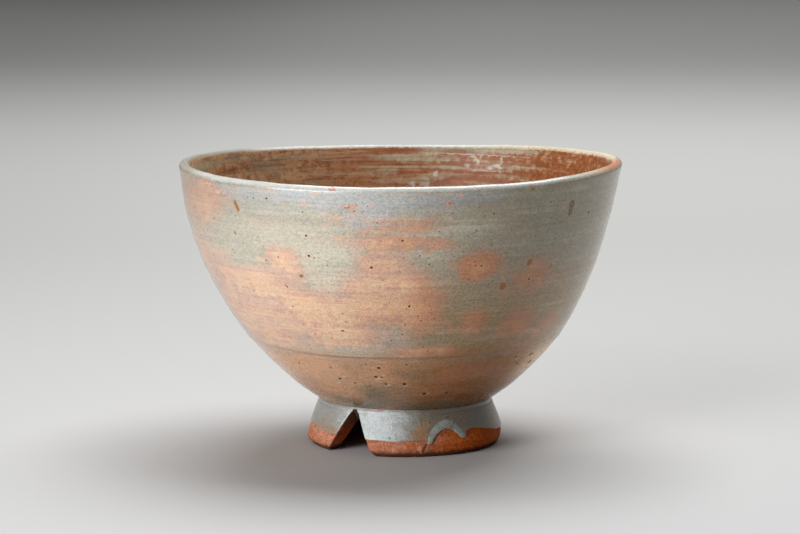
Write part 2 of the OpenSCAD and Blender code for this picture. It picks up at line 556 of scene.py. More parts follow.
# %% The knife
CUT_W = 16 * MM
CUT_ROOT_W = 1.2 * MM
CUT_TOP_H = 12.9 * MM
CUT_ASIDE = 0.8 * MM
CUT_FROM = 10 * MM
CUT_TO = 34 * MM
CUT_BELOW = 2 * MM
CUT_SPREAD = (CUT_W - CUT_ROOT_W) / 2 / CUT_TOP_H


def cut_half(height):
    """Half the width of the V cut at a height."""
    return CUT_ROOT_W / 2 + (CUT_TOP_H - height) * CUT_SPREAD


def cut_off(piece, widen):
    """Take the knife's wedge out of a piece."""
    bpy.ops.object.select_all(action="DESELECT")
    bpy.ops.mesh.primitive_cube_add(size=2, location=(0, 0, 0))
    wedge = bpy.context.object

    def sharpened(places):
        x, y, z = places.T
        height = np.where(z > 0, CUT_TOP_H, -CUT_BELOW)
        side = x * (cut_half(height) + widen) + CUT_ASIDE
        return np.stack([side, np.where(y > 0, -CUT_FROM, -CUT_TO), height], axis=1)

    press(wedge, sharpened)
    bpy.ops.object.select_all(action="DESELECT")
    piece.select_set(True)
    bpy.context.view_layer.objects.active = piece
    work(piece, "BOOLEAN", operation="DIFFERENCE", solver="EXACT", object=wedge)
    bpy.data.objects.remove(wedge)


print("the cut is", round(2 * cut_half(0) / MM, 1), "mm wide at the table")

# %% Sand and a crack
BASE_ASIDE = -0.35 * MM
SAND_DEPTH = 0.05 * MM
SAND_GRAIN = 1.6 * MM
CRACK_TOP = (12.9, 3.9)
CRACK_END = (10.4, 1.1)
CRACK_W = 0.3 * MM
CRACK_DEPTH = 0.3 * MM


def sanded(depth, grain):
    """A rule that roughens clay by a depth, in bumps of about a grain's size."""
    def rule(places):
        lift = [noise.noise(Vector(p) / grain) + 0.5 * noise.noise(Vector(p) / grain * 2.7) for p in places]
        outward = places * np.array([1, 1, 0])
        outward /= np.maximum(np.linalg.norm(outward, axis=1, keepdims=True), 1e-9)
        return places + outward * np.array(lift)[:, None] * depth
    return rule


def on_band(turn, height):
    """A point on the bare band: degrees from the photograph's side, and millimetres up."""
    angle = math.radians(turn)
    return seen_at(math.sin(angle), math.cos(angle), 0) * FOOT_R + UP * height * MM


def cracked(places):
    """Press a hair crack into the bare band, and let the base stand a little to the left."""
    x, y, z = places.T
    start = on_band(*CRACK_TOP)
    end = on_band(*CRACK_END)
    share = np.clip((places - start) @ np.array(end - start) / (end - start).length_squared, 0, 1)
    away = np.linalg.norm(places - start - share[:, None] * np.array(end - start), axis=1)
    grow = 1 - CRACK_DEPTH * np.exp(-(away / CRACK_W) ** 2) / np.hypot(x, y)
    aside = BASE_ASIDE * (1 - eased(z, 1 * MM, GLAZE_LINE_H))
    return np.stack([x * grow + aside * RIGHT.x, y * grow + aside * RIGHT.y, z], axis=1)


print("the crack starts at", [round(v / MM, 1) for v in on_band(*CRACK_TOP)])

# %% Foot ring
FOOT_VOXEL = 0.3 * MM
FOOT_STEPS = 160
INNER_CHAMFER = 0.6 * MM
SLIP_DROP = JOINT_H - FOOT_TOP_H
foot_low = spot(FOOT_R, BAND_H)
foot_high = spot(JOINT_R, FOOT_TOP_H)
foot_out = Vector((foot_high.z - foot_low.z, 0, foot_low.x - foot_high.x)).normalized()
foot_inner_r = FOOT_R - FOOT_T
foot_corners = [
    spot(foot_inner_r + INNER_CHAMFER, 0),
    spot(FOOT_R - BEVEL_W, 0),
    spot(FOOT_R, BEVEL_H),
    foot_low,
    foot_high,
    well_edge - UP * SLIP_DROP,
    spot(foot_inner_r, INNER_CHAMFER),
]
foot = draw("foot_clay", [
    (4, straight(start, end)) for start, end in zip(foot_corners, foot_corners[1:] + foot_corners[:1])
])
throw(foot, FOOT_STEPS)
cut_off(foot, 0)
work(foot, "REMESH", mode="VOXEL", voxel_size=FOOT_VOXEL)
work(foot, "SMOOTH", factor=0.5, iterations=3)
press(foot, sanded(SAND_DEPTH, SAND_GRAIN))
press(foot, cracked)
bpy.ops.object.shade_smooth()
told(foot)

# %% [markdown]
# ## Slip and glaze on the foot
# Slip fills the joint and shows as a thin line. The foot's own glaze is a skin on a cone: it stops at an
# uneven line above the bare band, tapers away at its edges and at the knife's cut, and leaves an arch of
# bare clay where the bowl was held for dipping. Angles here are round the axis from the photograph's
# side, right being positive, and heights are in millimetres.

# %% Slip in the joint
SLIP_FRONT = 0.34 * MM
SLIP_STEPS = 320
BEAD_SLOPE = 118
SMOOTH_BELOW = math.radians(40)
seam_low = foot_high + (foot_low - foot_high).normalized() * SEAM_W
slip_low = seam_low + foot_out * SLIP_FRONT
slip_high = seam_high + facing(SEAT_SLOPE) * SLIP_FRONT
slip = draw("joint_slip_bead", [
    (2, straight(well_edge - UP * SLIP_DROP, foot_high)),
    (2, straight(foot_high, slip_low)),
    (8, curved(slip_low, BEAD_SLOPE, slip_high, SEAT_SLOPE, 0.3)),
    (2, straight(slip_high, joint)),
    (2, straight(joint, well_edge)),
    (2, straight(well_edge, well_edge - UP * SLIP_DROP)),
])
throw(slip, SLIP_STEPS)
cut_off(slip, 0)
bpy.ops.object.shade_smooth_by_angle(angle=SMOOTH_BELOW)
told(slip)

# %% Edges of the glaze on the foot
ARCH = [(13.5, 4.2), (15, 5.6), (18.5, 7.6), (23, 8.9), (27, 9.1), (31.5, 8.2), (35, 6.6), (37.8, 5.4)]
LINE_LEFT = [
    (-180, 5.8), (-150, 6.3), (-120, 5.2), (-90, 6.0), (-67, 5.7), (-48, 5.1), (-15, 4.8), (11, 4.7),
]
LINE_RIGHT = [(39, 6.5), (44, 7.0), (54, 6.4), (68, 5.2), (80, 4.4), (110, 5.0), (145, 6.2), (180, 5.8)]
TAPER = 0.4 * MM
LINE_TAPER = -0.3 * MM
CUT_TAPER = -0.1 * MM
THINNEST = 0.25
UNEVEN_H = 1.7 * MM
SKIN_CLEAR = 0.04 * MM
EDGE_W = 1.2 * MM


def seen_turn(x, y):
    """Degrees round the axis from the photograph's side, to the right."""
    return np.degrees(np.arctan2(x * RIGHT.x + y * RIGHT.y, x * TOWARDS.x + y * TOWARDS.y))


def foot_wall_r(height):
    """Clay radius of the foot's outer wall at a height."""
    share = (height - foot_low.z) / (foot_high.z - foot_low.z)
    return foot_low.x + (foot_high.x - foot_low.x) * share


def glaze_line(turn):
    """Height of the glaze's lower edge: a wavering line that steps up over the arch."""
    turns, heights = np.array(LINE_LEFT + ARCH + LINE_RIGHT).T
    waver = 0.1 * np.sin(np.radians(turn) * 9) + 0.06 * np.sin(np.radians(turn) * 23 + 1)
    return (np.interp(turn, turns, heights) + waver) * MM


def poured(places):
    """Stretch the even skin down to the glaze line and taper it at its edges."""
    x, y, z = places.T
    turn = seen_turn(x, y)
    top = seam_low.z
    share = (top - z) / (top - GLAZE_LINE_H)
    height = top - share * (top - glaze_line(turn))
    lift = np.hypot(x, y) - foot_wall_r(z)
    beside_cut = np.where(y < 0, np.abs(x - CUT_ASIDE) - cut_half(height), 1)
    thin = eased(height - glaze_line(turn), LINE_TAPER, TAPER) * eased(beside_cut, CUT_TAPER, TAPER)
    uneven = 1 + 0.12 * np.sin(np.radians(turn) * 6 + height / UNEVEN_H)
    radius = foot_wall_r(height) + SKIN_CLEAR + lift * (THINNEST + (1 - THINNEST) * thin) * uneven
    grow = radius / np.hypot(x, y)
    return np.stack([x * grow, y * grow, height], axis=1)


def thinned(places):
    """1 at the glaze's lower edge, where the clay shows through it, and 0 higher up."""
    x, y, z = places.T
    return 1 - eased(z - glaze_line(seen_turn(x, y)), 0, EDGE_W)


print("glaze line in front in mm:", round(float(glaze_line(0)) / MM, 2))

# %% Glaze skin on the foot
FOOT_SKIN_STEPS = 480
CUT_CLEAR = 0.2 * MM
line_low = foot_low + (foot_high - foot_low) * ((GLAZE_LINE_H - foot_low.z) / (foot_high.z - foot_low.z))
foot_skin = draw("foot_glaze_skin", [
    (30, straight(line_low + foot_out * GLAZE_T, seam_low + foot_out * GLAZE_T)),
    (1, straight(seam_low + foot_out * GLAZE_T, seam_low)),
    (6, straight(seam_low, line_low)),
    (1, straight(line_low, line_low + foot_out * GLAZE_T)),
])
throw(foot_skin, FOOT_SKIN_STEPS)
cut_off(foot_skin, CUT_CLEAR)
press(foot_skin, poured)
mark(foot_skin, "edge", thinned)
bpy.ops.object.shade_smooth_by_angle(angle=SMOOTH_BELOW)
told(foot_skin)

# %% [markdown]
# ## The run of glaze round the finger mark
# Where a fingertip kept the glaze off, a thick bead of it gathered round the tip in an arch. A Bezier
# curve with a round bevel and a radius at each knot makes such a bead: thin legs and a wide crown. It is
# drawn flat, made into a mesh, pressed nearly flat, and then wrapped round the cone of the foot.

# %% Glaze run
RUN_HALF = [0.4, 0.9, 1.1, 1.4, 1.5, 1.45, 1.3, 1.3, 1.2, 0.85, 0.15]
RUN_KNOTS = [(13.3, 3.9), (14.2, 4.6), (16.0, 6.3), (19.5, 8.1), (24.5, 9.15), (29.0, 8.9), (33.5, 7.4),
             (36.0, 6.2), (37.0, 5.6), (37.6, 5.1), (37.9, 4.85)]
RUN_FLAT = 0.2
RUN_SINK = -0.15 * MM
RUN_PROUD = GLAZE_T * 0.6
RUN_RISE = 0.3
flat_r = foot_wall_r(GLAZE_LINE_H)
run = new_pen("glaze_run_bead")
bead = run.data.splines.new("BEZIER")
bead.resolution_u = 10
bead.bezier_points.add(len(RUN_KNOTS) - 1)
for knot, (turn, height), half in zip(bead.bezier_points, RUN_KNOTS, RUN_HALF):
    knot.co = (math.radians(turn) * flat_r, 0, height * MM)
    knot.radius = half
    knot.handle_left_type = "AUTO"
    knot.handle_right_type = "AUTO"
run.data.bevel_depth = 1 * MM
run.data.bevel_resolution = 7
run.data.use_fill_caps = True
bpy.ops.object.convert(target="MESH")
run = bpy.context.object


def wrapped(places):
    """Press the flat bead to a fifth of its depth and wrap it round the foot."""
    along_foot, proud, height = places.T
    turn = along_foot / flat_r
    out = np.maximum(-proud * RUN_FLAT, RUN_SINK) + RUN_PROUD
    radius = foot_wall_r(height) + out
    right = np.sin(turn) * radius
    towards = np.cos(turn) * radius
    x = right * RIGHT.x + towards * TOWARDS.x
    y = right * RIGHT.y + towards * TOWARDS.y
    return np.stack([x, y, height + RUN_RISE * out], axis=1)


press(run, wrapped)
weld()
bpy.ops.object.shade_smooth()
told(run)

# %% [markdown]
# ## Node helpers
# Every finish below is made of nodes on Object coordinates, so it belongs to the bowl and looks the same
# from all sides. Node code is long when written out, so small helpers add to the tree that was chosen
# last: put adds a node and fills its inputs, and the others do a sum, a smooth step, a mix of two
# colours, a veil of colour over another or a weighted blend of values.

# %% Node helpers
bench = None


def work_in(tree):
    """Choose the node tree that the helpers fill, as Blender works on one active object."""
    global bench
    bench = tree


def fill(socket, value):
    """Link a value to a socket, or set it there if it is a plain number or colour."""
    if isinstance(value, bpy.types.NodeSocket):
        bench.links.new(value, socket)
    else:
        socket.default_value = value


def put(kind, inputs=(), **settings):
    """Add a node, set its settings, and fill its inputs with values or links."""
    made = bench.nodes.new("ShaderNode" + kind)
    for key, value in settings.items():
        setattr(made, key, value)
    for key, value in dict(inputs).items():
        fill(made.inputs[key], value)
    return made


def sums(operation, *values):
    return put("Math", enumerate(values), operation=operation).outputs[0]


def vectors(operation, *values):
    return put("VectorMath", enumerate(values), operation=operation).outputs[0]


def distance_along(place, direction):
    """How far a place lies along a direction."""
    return put("VectorMath", {0: place, 1: direction}, operation="DOT_PRODUCT").outputs["Value"]


def times(first, second):
    return sums("MULTIPLY", first, second)


def mixed(amount, first, second, way="MIX"):
    return put("Mix", {0: amount, 6: first, 7: second}, data_type="RGBA", blend_type=way).outputs[2]


def step(value, low, high):
    return put("MapRange", {0: value, 1: low, 2: high}, interpolation_type="SMOOTHSTEP").outputs[0]


def within(value, start, full, fading, end):
    """1 where a value lies between two limits, with a smooth rise and fall."""
    return times(step(value, start, full), step(value, end, fading))


mix_ways = bpy.types.ShaderNodeMix.bl_rna.properties["blend_type"].enum_items
print("a Mix node knows", len(mix_ways), "ways to mix colours")

# %% Colours, places and groups


def blend(*parts, base=0):
    """Add up values, each times its weight, on top of a base."""
    for value, weight in parts:
        base = sums("MULTIPLY_ADD", value, weight, base)
    return base


def veil(colour, mask, tint, strength):
    """Lay a tint over a colour, as strongly as said, where a mask is 1."""
    return mixed(times(mask, strength), colour, tint)


def shaded(colour, factor):
    """Make a colour lighter or darker by a factor that changes over the surface."""
    grey = put("CombineColor", {0: factor, 1: factor, 2: factor}).outputs[0]
    return mixed(1, colour, grey, "MULTIPLY")


def nudged(flat, turn, height):
    """Move a place on the unrolled bowl by noise, in degrees and millimetres, which frays what is there."""
    moved = put("CombineXYZ", {0: turn, 1: height}).outputs[0]
    return vectors("ADD", flat, moved)


def paint(red, green, blue):
    """A colour given in 0 to 255, as the linear colour that a shader reads."""
    parts = [v / 255 for v in (red, green, blue)]
    return [v / 12.92 if v <= 0.04045 else ((v + 0.055) / 1.055) ** 2.4 for v in parts] + [1]


def group(name, inputs, outputs):
    """Start a node group with named sockets."""
    tree = bpy.data.node_groups.new(name, "ShaderNodeTree")
    for title, kind, value in inputs:
        socket = tree.interface.new_socket(title, in_out="INPUT", socket_type="NodeSocket" + kind)
        socket.default_value = value
    for title, kind in outputs:
        tree.interface.new_socket(title, in_out="OUTPUT", socket_type="NodeSocket" + kind)
    work_in(tree)
    return tree, tree.nodes.new("NodeGroupInput").outputs, tree.nodes.new("NodeGroupOutput").inputs


def use(shared, **inputs):
    """Place a node group and fill its inputs; an underscore stands for a space in a socket's name."""
    named = {key.replace("_", " "): value for key, value in inputs.items()}
    return put("Group", named, node_tree=shared).outputs


print("grey-green 168, 166, 152 is", [round(v, 3) for v in paint(168, 166, 152)])

# %% [markdown]
# ## Shared effects
# The glazes and clays share four effects, each a node group. Wheel place turns a point into an angle and
# a height, so that a blush can be put where it is on the bowl. Soft patch is a rounded spot in that map.
# Wheel streaks is noise drawn out along the turning of the wheel, or left round with a stretch of 1.
# Iron specks are the small dark dots that iron in the clay burns through any glaze.

# %% Wheel place and Soft patch
wheel_place, given, result = group(
    "Wheel place",
    [("Place", "Vector", (0, 0, 0))],
    [("Spot", "Vector"), ("Map", "Vector"), ("Height", "Float")],
)
in_mm = put("VectorMath", {0: given["Place"], "Scale": 1 / MM}, operation="SCALE").outputs[0]
to_right = distance_along(in_mm, RIGHT)
to_front = distance_along(in_mm, TOWARDS)
height_mm = put("SeparateXYZ", {0: in_mm}).outputs[2]
for low, high, lean in (
    (LEAN_FROM_H, LEAN_FULL_H, LEAN_FULL),
    (LEAN_FULL_H, BOWL_H, LEAN_LIP - LEAN_FULL),
):
    leaning = step(height_mm, low / MM, high / MM)
    to_right = sums("MULTIPLY_ADD", leaning, -lean / MM, to_right)
around = sums("DEGREES", sums("ARCTAN2", to_right, to_front))
unrolled = put("CombineXYZ", {0: around, 1: height_mm}).outputs[0]
fill(result["Spot"], in_mm)
fill(result["Map"], unrolled)
fill(result["Height"], height_mm)

soft_patch, given, result = group(
    "Soft patch",
    [("Map", "Vector", (0, 0, 0)), ("Middle", "Vector", (0, 0, 0)), ("Reach", "Vector", (1, 1, 1))],
    [("Inside", "Float"), ("Glow", "Float")],
)
offset = vectors("SUBTRACT", given["Map"], given["Middle"])
half_turn = Vector((180, 999, 999))
offset = vectors("WRAP", offset, half_turn, -half_turn)
offset = vectors("DIVIDE", offset, given["Reach"])
away = put("VectorMath", {0: offset}, operation="LENGTH").outputs["Value"]
fill(result["Inside"], sums("SUBTRACT", 1, away))
fill(result["Glow"], step(away, 1.75, 0.25))


def patches(flat, spots):
    """How far inside the nearest of some patches a point is: 1 in its middle, 0 at its edge."""
    deepest = -9.0
    for turn, height, reach_round, reach_up in spots:
        found = use(soft_patch, Map=flat, Middle=(turn, height, 0), Reach=(reach_round, reach_up, 1))
        deepest = sums("MAXIMUM", found["Inside"], deepest)
    return deepest


def glows(flat, spots):
    """Soft patches that add up: each fades from its strength in the middle to half of it at its edge."""
    total = 0.0
    for turn, height, reach_round, reach_up, strength in spots:
        found = use(soft_patch, Map=flat, Middle=(turn, height, 0), Reach=(reach_round, reach_up, 1))
        total = sums("MULTIPLY_ADD", found["Glow"], strength, total)
    return total


print("nodes in", soft_patch.name, "are", len(soft_patch.nodes))

# %% Wheel streaks and Iron specks
wheel_streaks, given, result = group(
    "Wheel streaks",
    [
        ("Spot", "Vector", (0, 0, 0)),
        ("Fineness", "Float", 1),
        ("Stretch", "Float", 8),
        ("Shift", "Float", 0),
    ],
    [("Value", "Float")],
)
narrow = sums("DIVIDE", 1, given["Stretch"])
squeeze = put("CombineXYZ", {0: narrow, 1: narrow, 2: 1}).outputs[0]
drawn_out = vectors("MULTIPLY", given["Spot"], squeeze)
moved = vectors("ADD", drawn_out, given["Shift"])
cloudy = put("TexNoise", {"Vector": moved, "Scale": given["Fineness"], "Detail": 4})
centred = sums("MULTIPLY_ADD", cloudy.outputs[0], 4, -2)
fill(result["Value"], centred)

iron_specks, given, result = group(
    "Iron specks",
    [
        ("Spot", "Vector", (0, 0, 0)),
        ("Per mm", "Float", 0.5),
        ("Radius mm", "Float", 0.2),
        ("Share", "Float", 0.5),
    ],
    [("Mask", "Float")],
)
cells = put("TexVoronoi", {"Vector": given["Spot"], "Scale": given["Per mm"], "Randomness": 1})
chance = put("SeparateColor", {0: cells.outputs["Color"]}).outputs
chosen = sums("LESS_THAN", chance[0], given["Share"])
across = times(given["Radius mm"], given["Per mm"])
across = times(across, sums("MULTIPLY_ADD", chance[1], 0.9, 0.4))
dot = step(sums("DIVIDE", cells.outputs["Distance"], across), 1, 0.5)
fill(result["Mask"], times(dot, chosen))


print("groups:", [g.name for g in bpy.data.node_groups])

# %% Finishing helpers


def streaks(spot_mm, fineness, stretch, shift=0.0):
    """Noise from about -1 to 1, drawn out round the bowl; a stretch of 1 leaves it round."""
    return use(wheel_streaks, Spot=spot_mm, Fineness=fineness, Stretch=stretch, Shift=shift)[0]


def specked(spot_mm, per_mm, radius_mm, share):
    """Specks of about a radius, in a share of the cells of which so many go on a millimetre."""
    return use(iron_specks, Spot=spot_mm, Per_mm=per_mm, Radius_mm=radius_mm, Share=share)[0]


def finish(name, piece):
    """Give a piece a new material; return its shader and a point's place, unrolled map and height."""
    material = bpy.data.materials.new(name)
    material.use_nodes = True
    work_in(material.node_tree)
    piece.data.materials.clear()
    piece.data.materials.append(material)
    wheel = use(wheel_place, Place=put("TexCoord").outputs["Object"])
    return bench.nodes["Principled BSDF"], wheel["Spot"], wheel["Map"], wheel["Height"]


def dress(shader, colour, roughness, relief, **others):
    """Give a shader its colour, roughness and relief in millimetres, and other inputs by name."""
    bumped = put("Bump", {"Strength": 1, "Distance": MM, "Height": relief}).outputs[0]
    fill(shader.inputs["Base Color"], colour)
    fill(shader.inputs["Roughness"], roughness)
    fill(shader.inputs["Normal"], bumped)
    for key, value in others.items():
        fill(shader.inputs[key.replace("_", " ")], value)


print("materials so far:", len(bpy.data.materials))

# %% [markdown]
# ## The outer glaze's finish
# The glaze is a thin satin grey-green. Where the flame and the clay met it right, it blushed. Colours
# like these could be painted on an image, but noise and soft patches stay sharp at any size. So each
# colour is a list of patches: a turn in degrees from the photograph's side, a height and a reach each
# way in degrees and millimetres, and often a strength. First come the noises that fray them: some drawn
# out along the wheel's turning, some round. Adding noise to the place itself, before a patch is looked
# up, tears its edge.

# %% Outer glaze: its textures
shader, spot_mm, flat, height_mm = finish("outer_glaze", outer_skin)
turn_deg = put("SeparateXYZ", {0: flat}).outputs[0]
broad = streaks(spot_mm, 0.2, 7)
band = streaks(spot_mm, 0.5, 10, 30)
fine = streaks(spot_mm, 0.95, 16, 20)
line = streaks(spot_mm, 1.25, 60, 90)
cloud = streaks(spot_mm, 0.07, 1, 40)
mottle = streaks(spot_mm, 0.32, 1.3, 60)
pebble = streaks(spot_mm, 0.9, 1.8, 50)
grain = streaks(spot_mm, 1.6, 1.4, 80)
sand = streaks(spot_mm, 2.6, 1, 110)
sideways = blend((cloud, 2), (mottle, 2), (pebble, 1.2))
updown = blend((cloud, 1.2), (broad, 0.3), (mottle, 1.2), (pebble, 0.6))
frayed = nudged(flat, sideways, updown)
torn = nudged(flat, blend((pebble, 0.5)), blend((pebble, 0.2)))
combed = nudged(flat, blend((mottle, 2.5), (pebble, 2)), blend((mottle, 0.9), (pebble, 0.8)))
print(len(bench.nodes), "nodes of noise in the outer glaze")

# %% [markdown]
# ### The grey glaze
# The bare glaze runs from grey-green on the lit side to olive and bronze low on the other, partly the
# glaze's own colour and partly painted shade. Cream lies where it is thick, cool blue under the lip, partly
# a painted highlight under its front, and faint streaks of both follow the wheel everywhere.

# %% Outer glaze: grey
GREY_GREEN = paint(170, 165, 150)
CREAM = paint(193, 186, 168)
BLUE_GREY = paint(175, 179, 179)
DIM_BLUE = paint(146, 147, 145)
OLIVE = paint(136, 127, 106)
BRONZE = paint(142, 114, 70)
CREAMS = [
    (-28, 67, 15, 6, 0.7), (-20, 58, 7, 8, 0.8), (-23, 50, 4, 4, 0.6), (12, 69, 12, 2, 0.6),
    (9, 62.6, 8, 1.6, 0.7), (-8, 64, 8, 1.4, 0.6), (26, 70.5, 4, 1.2, 0.5), (100, 64, 20, 5, 0.6),
    (-120, 70, 20, 5, 0.6), (160, 60, 10, 8, 0.6),
]
# The patches high under the front of the lip are partly a painted highlight, the blue-white sheen of its
# curve.
BLUES_AND_LIP_SHEEN = [
    (-36, 79.6, 20, 1.8, 0.9), (-6, 79, 20, 2.4, 0.9), (14, 79, 12, 2, 0.4), (-25, 76.4, 22, 2.6, 0.5),
    (-8, 72.8, 7, 2, 1), (0, 76, 14, 1.8, 0.6), (20, 79, 12, 2, 0.3), (1, 53.5, 2, 1.2, 0.6),
    (-2, 38, 7, 3.4, 0.4), (120, 76, 40, 4, 0.6), (-120, 77, 40, 4, 0.6), (2, 31, 8, 1.2, 0.4),
]

wandering = blend((turn_deg, 1), (cloud, 8))
dim_side = within(wandering, -24, 26, 100, 168)
before_back = step(turn_deg, -170, -110)
cream = step(blend((glows(frayed, CREAMS), 1), (pebble, 0.16), (fine, 0.2)), 0, 1.1)
blue = step(blend((glows(frayed, BLUES_AND_LIP_SHEEN), 1), (mottle, 0.16), (fine, 0.2)), 0, 1.1)
low_right = times(dim_side, step(blend((height_mm, 1), (broad, 4)), 66, 42))
# Partly painted shade: the dim side takes olive, bronze, less cream and DIM_BLUE, a darker copy of the
# blue.
grey = mixed(times(dim_side, 0.8), GREY_GREEN, OLIVE)
grey = veil(grey, low_right, BRONZE, 0.7)
grey = veil(grey, cream, CREAM, blend((dim_side, -0.45), base=0.85))
grey = veil(grey, blue, mixed(dim_side, BLUE_GREY, DIM_BLUE), 0.9)
pale_streaks = step(blend((band, 1), (line, 0.6), (mottle, 0.7)), 0, 1.1)
dull_streaks = step(blend((fine, 0.8), (broad, 0.8), (pebble, 0.25)), 0, 1.1)
grey = veil(grey, pale_streaks, CREAM, 0.28)
grey = veil(grey, dull_streaks, OLIVE, 0.28)
print(len(CREAMS), "cream and", len(BLUES_AND_LIP_SHEEN), "blue patches")

# %% [markdown]
# ### The blushes
# A blush is pink at the edge of its patch and peach in the middle. The soft edges of patches add up, so
# that near ones run together, and streaks along the wheel join them. One sum of all patches therefore
# serves twice: a low step of it is the blush, and a higher step its core.

# %% Outer glaze: blush
# PINK_LIT and PINK_DIM, and PEACH_LIT and PEACH_DIM, are lit and painted-shade copies of one colour.
PINK_LIT = paint(200, 160, 141)
PEACH_LIT = paint(214, 178, 147)
PINK_DIM = paint(171, 114, 86)
PEACH_DIM = paint(184, 130, 90)
LIMB_SHADE = (0.84, 0.79, 0.75, 1)
BLUSHES = [
    (-72, 75, 14, 6, 0.85), (-59, 74, 6, 5, 0.5), (-57, 79.5, 5, 1.6, 0.6), (-74, 62, 12, 5, 0.5),
    (-56, 60, 5, 2, 0.4), (-68, 54, 12, 5.5, 0.7), (-50, 52.5, 11, 4.2, 0.8), (-40, 53, 7, 4.5, 0.65),
    (-33, 49, 7, 4, 0.7), (-33, 60.4, 5.6, 3.4, 1.15), (-30, 56, 4, 3, 0.5), (-20, 36.5, 7, 2, 0.5),
    (-64, 43, 14, 5.5, 0.8), (-46, 42, 9, 5, 0.7), (-34, 44, 9, 4, 0.5), (-46, 35.5, 9, 3, 0.8),
    (-60, 35, 8, 4, 0.6), (-30, 38, 9, 4.5, 0.4), (3, 71.4, 8, 1.6, 0.15), (0, 66.2, 12, 2.2, 0.42),
    (10, 64.5, 5, 1.6, 0.5), (-5, 62.5, 8, 3, 0.6), (-50, 76, 5, 3, 0.4), (-5, 57, 10, 4, 0.8),
    (-7, 51, 12, 4, 0.75), (5, 51, 8, 5, 0.8), (-10, 46.5, 14, 3, 0.8), (5, 44, 8, 3.4, 0.7),
    (-26, 46.5, 8, 3.6, 0.7), (-20, 41, 8, 4.6, 0.95), (9, 33.6, 9.5, 1.8, 1.15), (-6, 36, 9, 4, 0.3),
    (6, 40, 6, 3, 0.15), (21.6, 59.6, 6.6, 3.9, 1.05), (39.5, 55.5, 5.4, 5, 0.65),
    (21.5, 42.4, 5.4, 3.4, 0.9), (31, 54, 4, 4, 0.3), (50, 55, 8, 6, 0.22), (39.5, 41, 6.8, 4.4, 0.9),
    (56, 39.5, 6, 3.6, 0.7), (58, 49, 8, 2.4, 0.3), (-15.5, 71.6, 2, 1.4, 0.35), (-10, 75, 10, 2, 0.25),
    (-1, 69.4, 12, 3.6, 0.3), (24, 34, 14, 3, 0.15), (-10, 41, 7, 3, 0.3), (45, 33, 12, 2.4, 0.4),
    (-22, 54, 7, 4, 0.25), (-28, 31, 8, 3, 0.3), (110, 57, 13, 9, 0.8), (124, 44, 22, 8, 0.8),
    (142, 66, 14, 6, 0.7), (165, 50, 12, 9, 0.8), (112, 72, 10, 3, 0.6), (-112, 62, 18, 8, 0.8),
    (-128, 46, 24, 9, 0.8), (-160, 58, 14, 7, 0.8), (-150, 72, 12, 3.5, 0.7), (-100, 38, 14, 5, 0.7),
]
STREAKS = [
    (-3, 72.6, 5, 0.6), (5, 72.7, 4.5, 0.9), (1, 70.2, 9, 0.7), (5, 71.2, 3, 0.9), (0, 67, 11, 0.9),
    (-2, 66, 12, 0.8), (-13, 67.6, 4, 0.7), (9, 65.4, 5, 0.6), (112, 62, 12, 0.9), (-134, 60, 10, 0.8),
]

field = blend(
    (glows(frayed, BLUSHES), 1), (broad, 0.08), (band, 0.06), (fine, 0.06), (cloud, 0.2),
    (mottle, 0.26), (pebble, 0.18), (line, 0.03),
)
combs = blend((patches(combed, STREAKS), 1), (pebble, 0.4), (mottle, 0.3))
field = blend((step(combs, -0.9, 0.8), 0.4), base=field)
blush = step(field, -0.05, 1)
core = step(blend((field, 1), (mottle, 0.4), (pebble, 0.2), (fine, 0.1)), 0.45, 1.5)
pink = mixed(dim_side, PINK_LIT, PINK_DIM)
peach = mixed(dim_side, PEACH_LIT, PEACH_DIM)
warm = mixed(core, pink, peach)
haze = blend((mottle, 0.9), (pebble, 0.9), (fine, 0.2), (line, 0.1))
warm = veil(warm, step(haze, 0.1, 1.1), grey, 0.5)
colour = veil(grey, blush, warm, 1)
# Painted shade: the colour is darker and redder towards the left limb.
limb_shade = times(step(turn_deg, -46, -72), before_back)
colour = mixed(limb_shade, colour, mixed(1, colour, LIMB_SHADE, "MULTIPLY"))
print(len(BLUSHES), "blushes and", len(STREAKS), "streaks")

# %% [markdown]
# ### Below the trimming line
# The trimming tool bared the grog in the clay, and the glaze over it fired tan, toasted in some places,
# flushed in others, and mossy where it gathered above the foot. It is mixed by itself and laid over the
# rest with a gentle edge. Its lit and dim tans are lit and painted-shade copies, and the paler tan at both
# limbs is a painted sheen.

# %% Outer glaze: tan
TAN_LIT = paint(198, 154, 122)
TAN_DIM = paint(148, 90, 30)
TAN_SHEEN_RIGHT = paint(176, 146, 108)
TAN_SHEEN_LEFT = paint(204, 178, 158)
TOASTED = paint(148, 106, 78)
FLUSHED = paint(208, 154, 116)
MOSS = paint(120, 107, 84)
TOASTS = [
    (-30, 26.5, 14, 2, 0.1), (-12, 30, 10, 1, 0.5), (-20, 28, 7, 2, 0.4), (-21, 23, 6, 2.4, 0.4),
    (34, 22, 14, 5, 0.5), (15, 19, 10, 2, 0.2), (-4, 21, 8, 2, 0.4), (22, 31, 14, 1.6, 0.4),
    (-58, 20, 12, 2, 0.3),
]
FLUSHES = [
    (-50, 28, 14, 3, 0.5), (-34, 21, 8, 2.6, 0.7), (-14, 24, 8, 2.6, 0.4), (18, 21, 10, 3, 0.5),
    (26, 19, 8, 2, 0.4), (14, 24.5, 8, 3, 0.5), (23, 27, 8, 3, 0.95), (34, 27, 10, 2.4, 0.4),
    (-44, 17, 10, 1.8, 0.5), (-35, 30, 7, 3, 0.4), (9, 33, 9, 1.6, 0.8), (4, 20, 6, 1.6, 0.4),
    (-110, 26, 20, 4, 0.6), (120, 27, 20, 4, 0.6), (170, 24, 14, 3, 0.6),
]
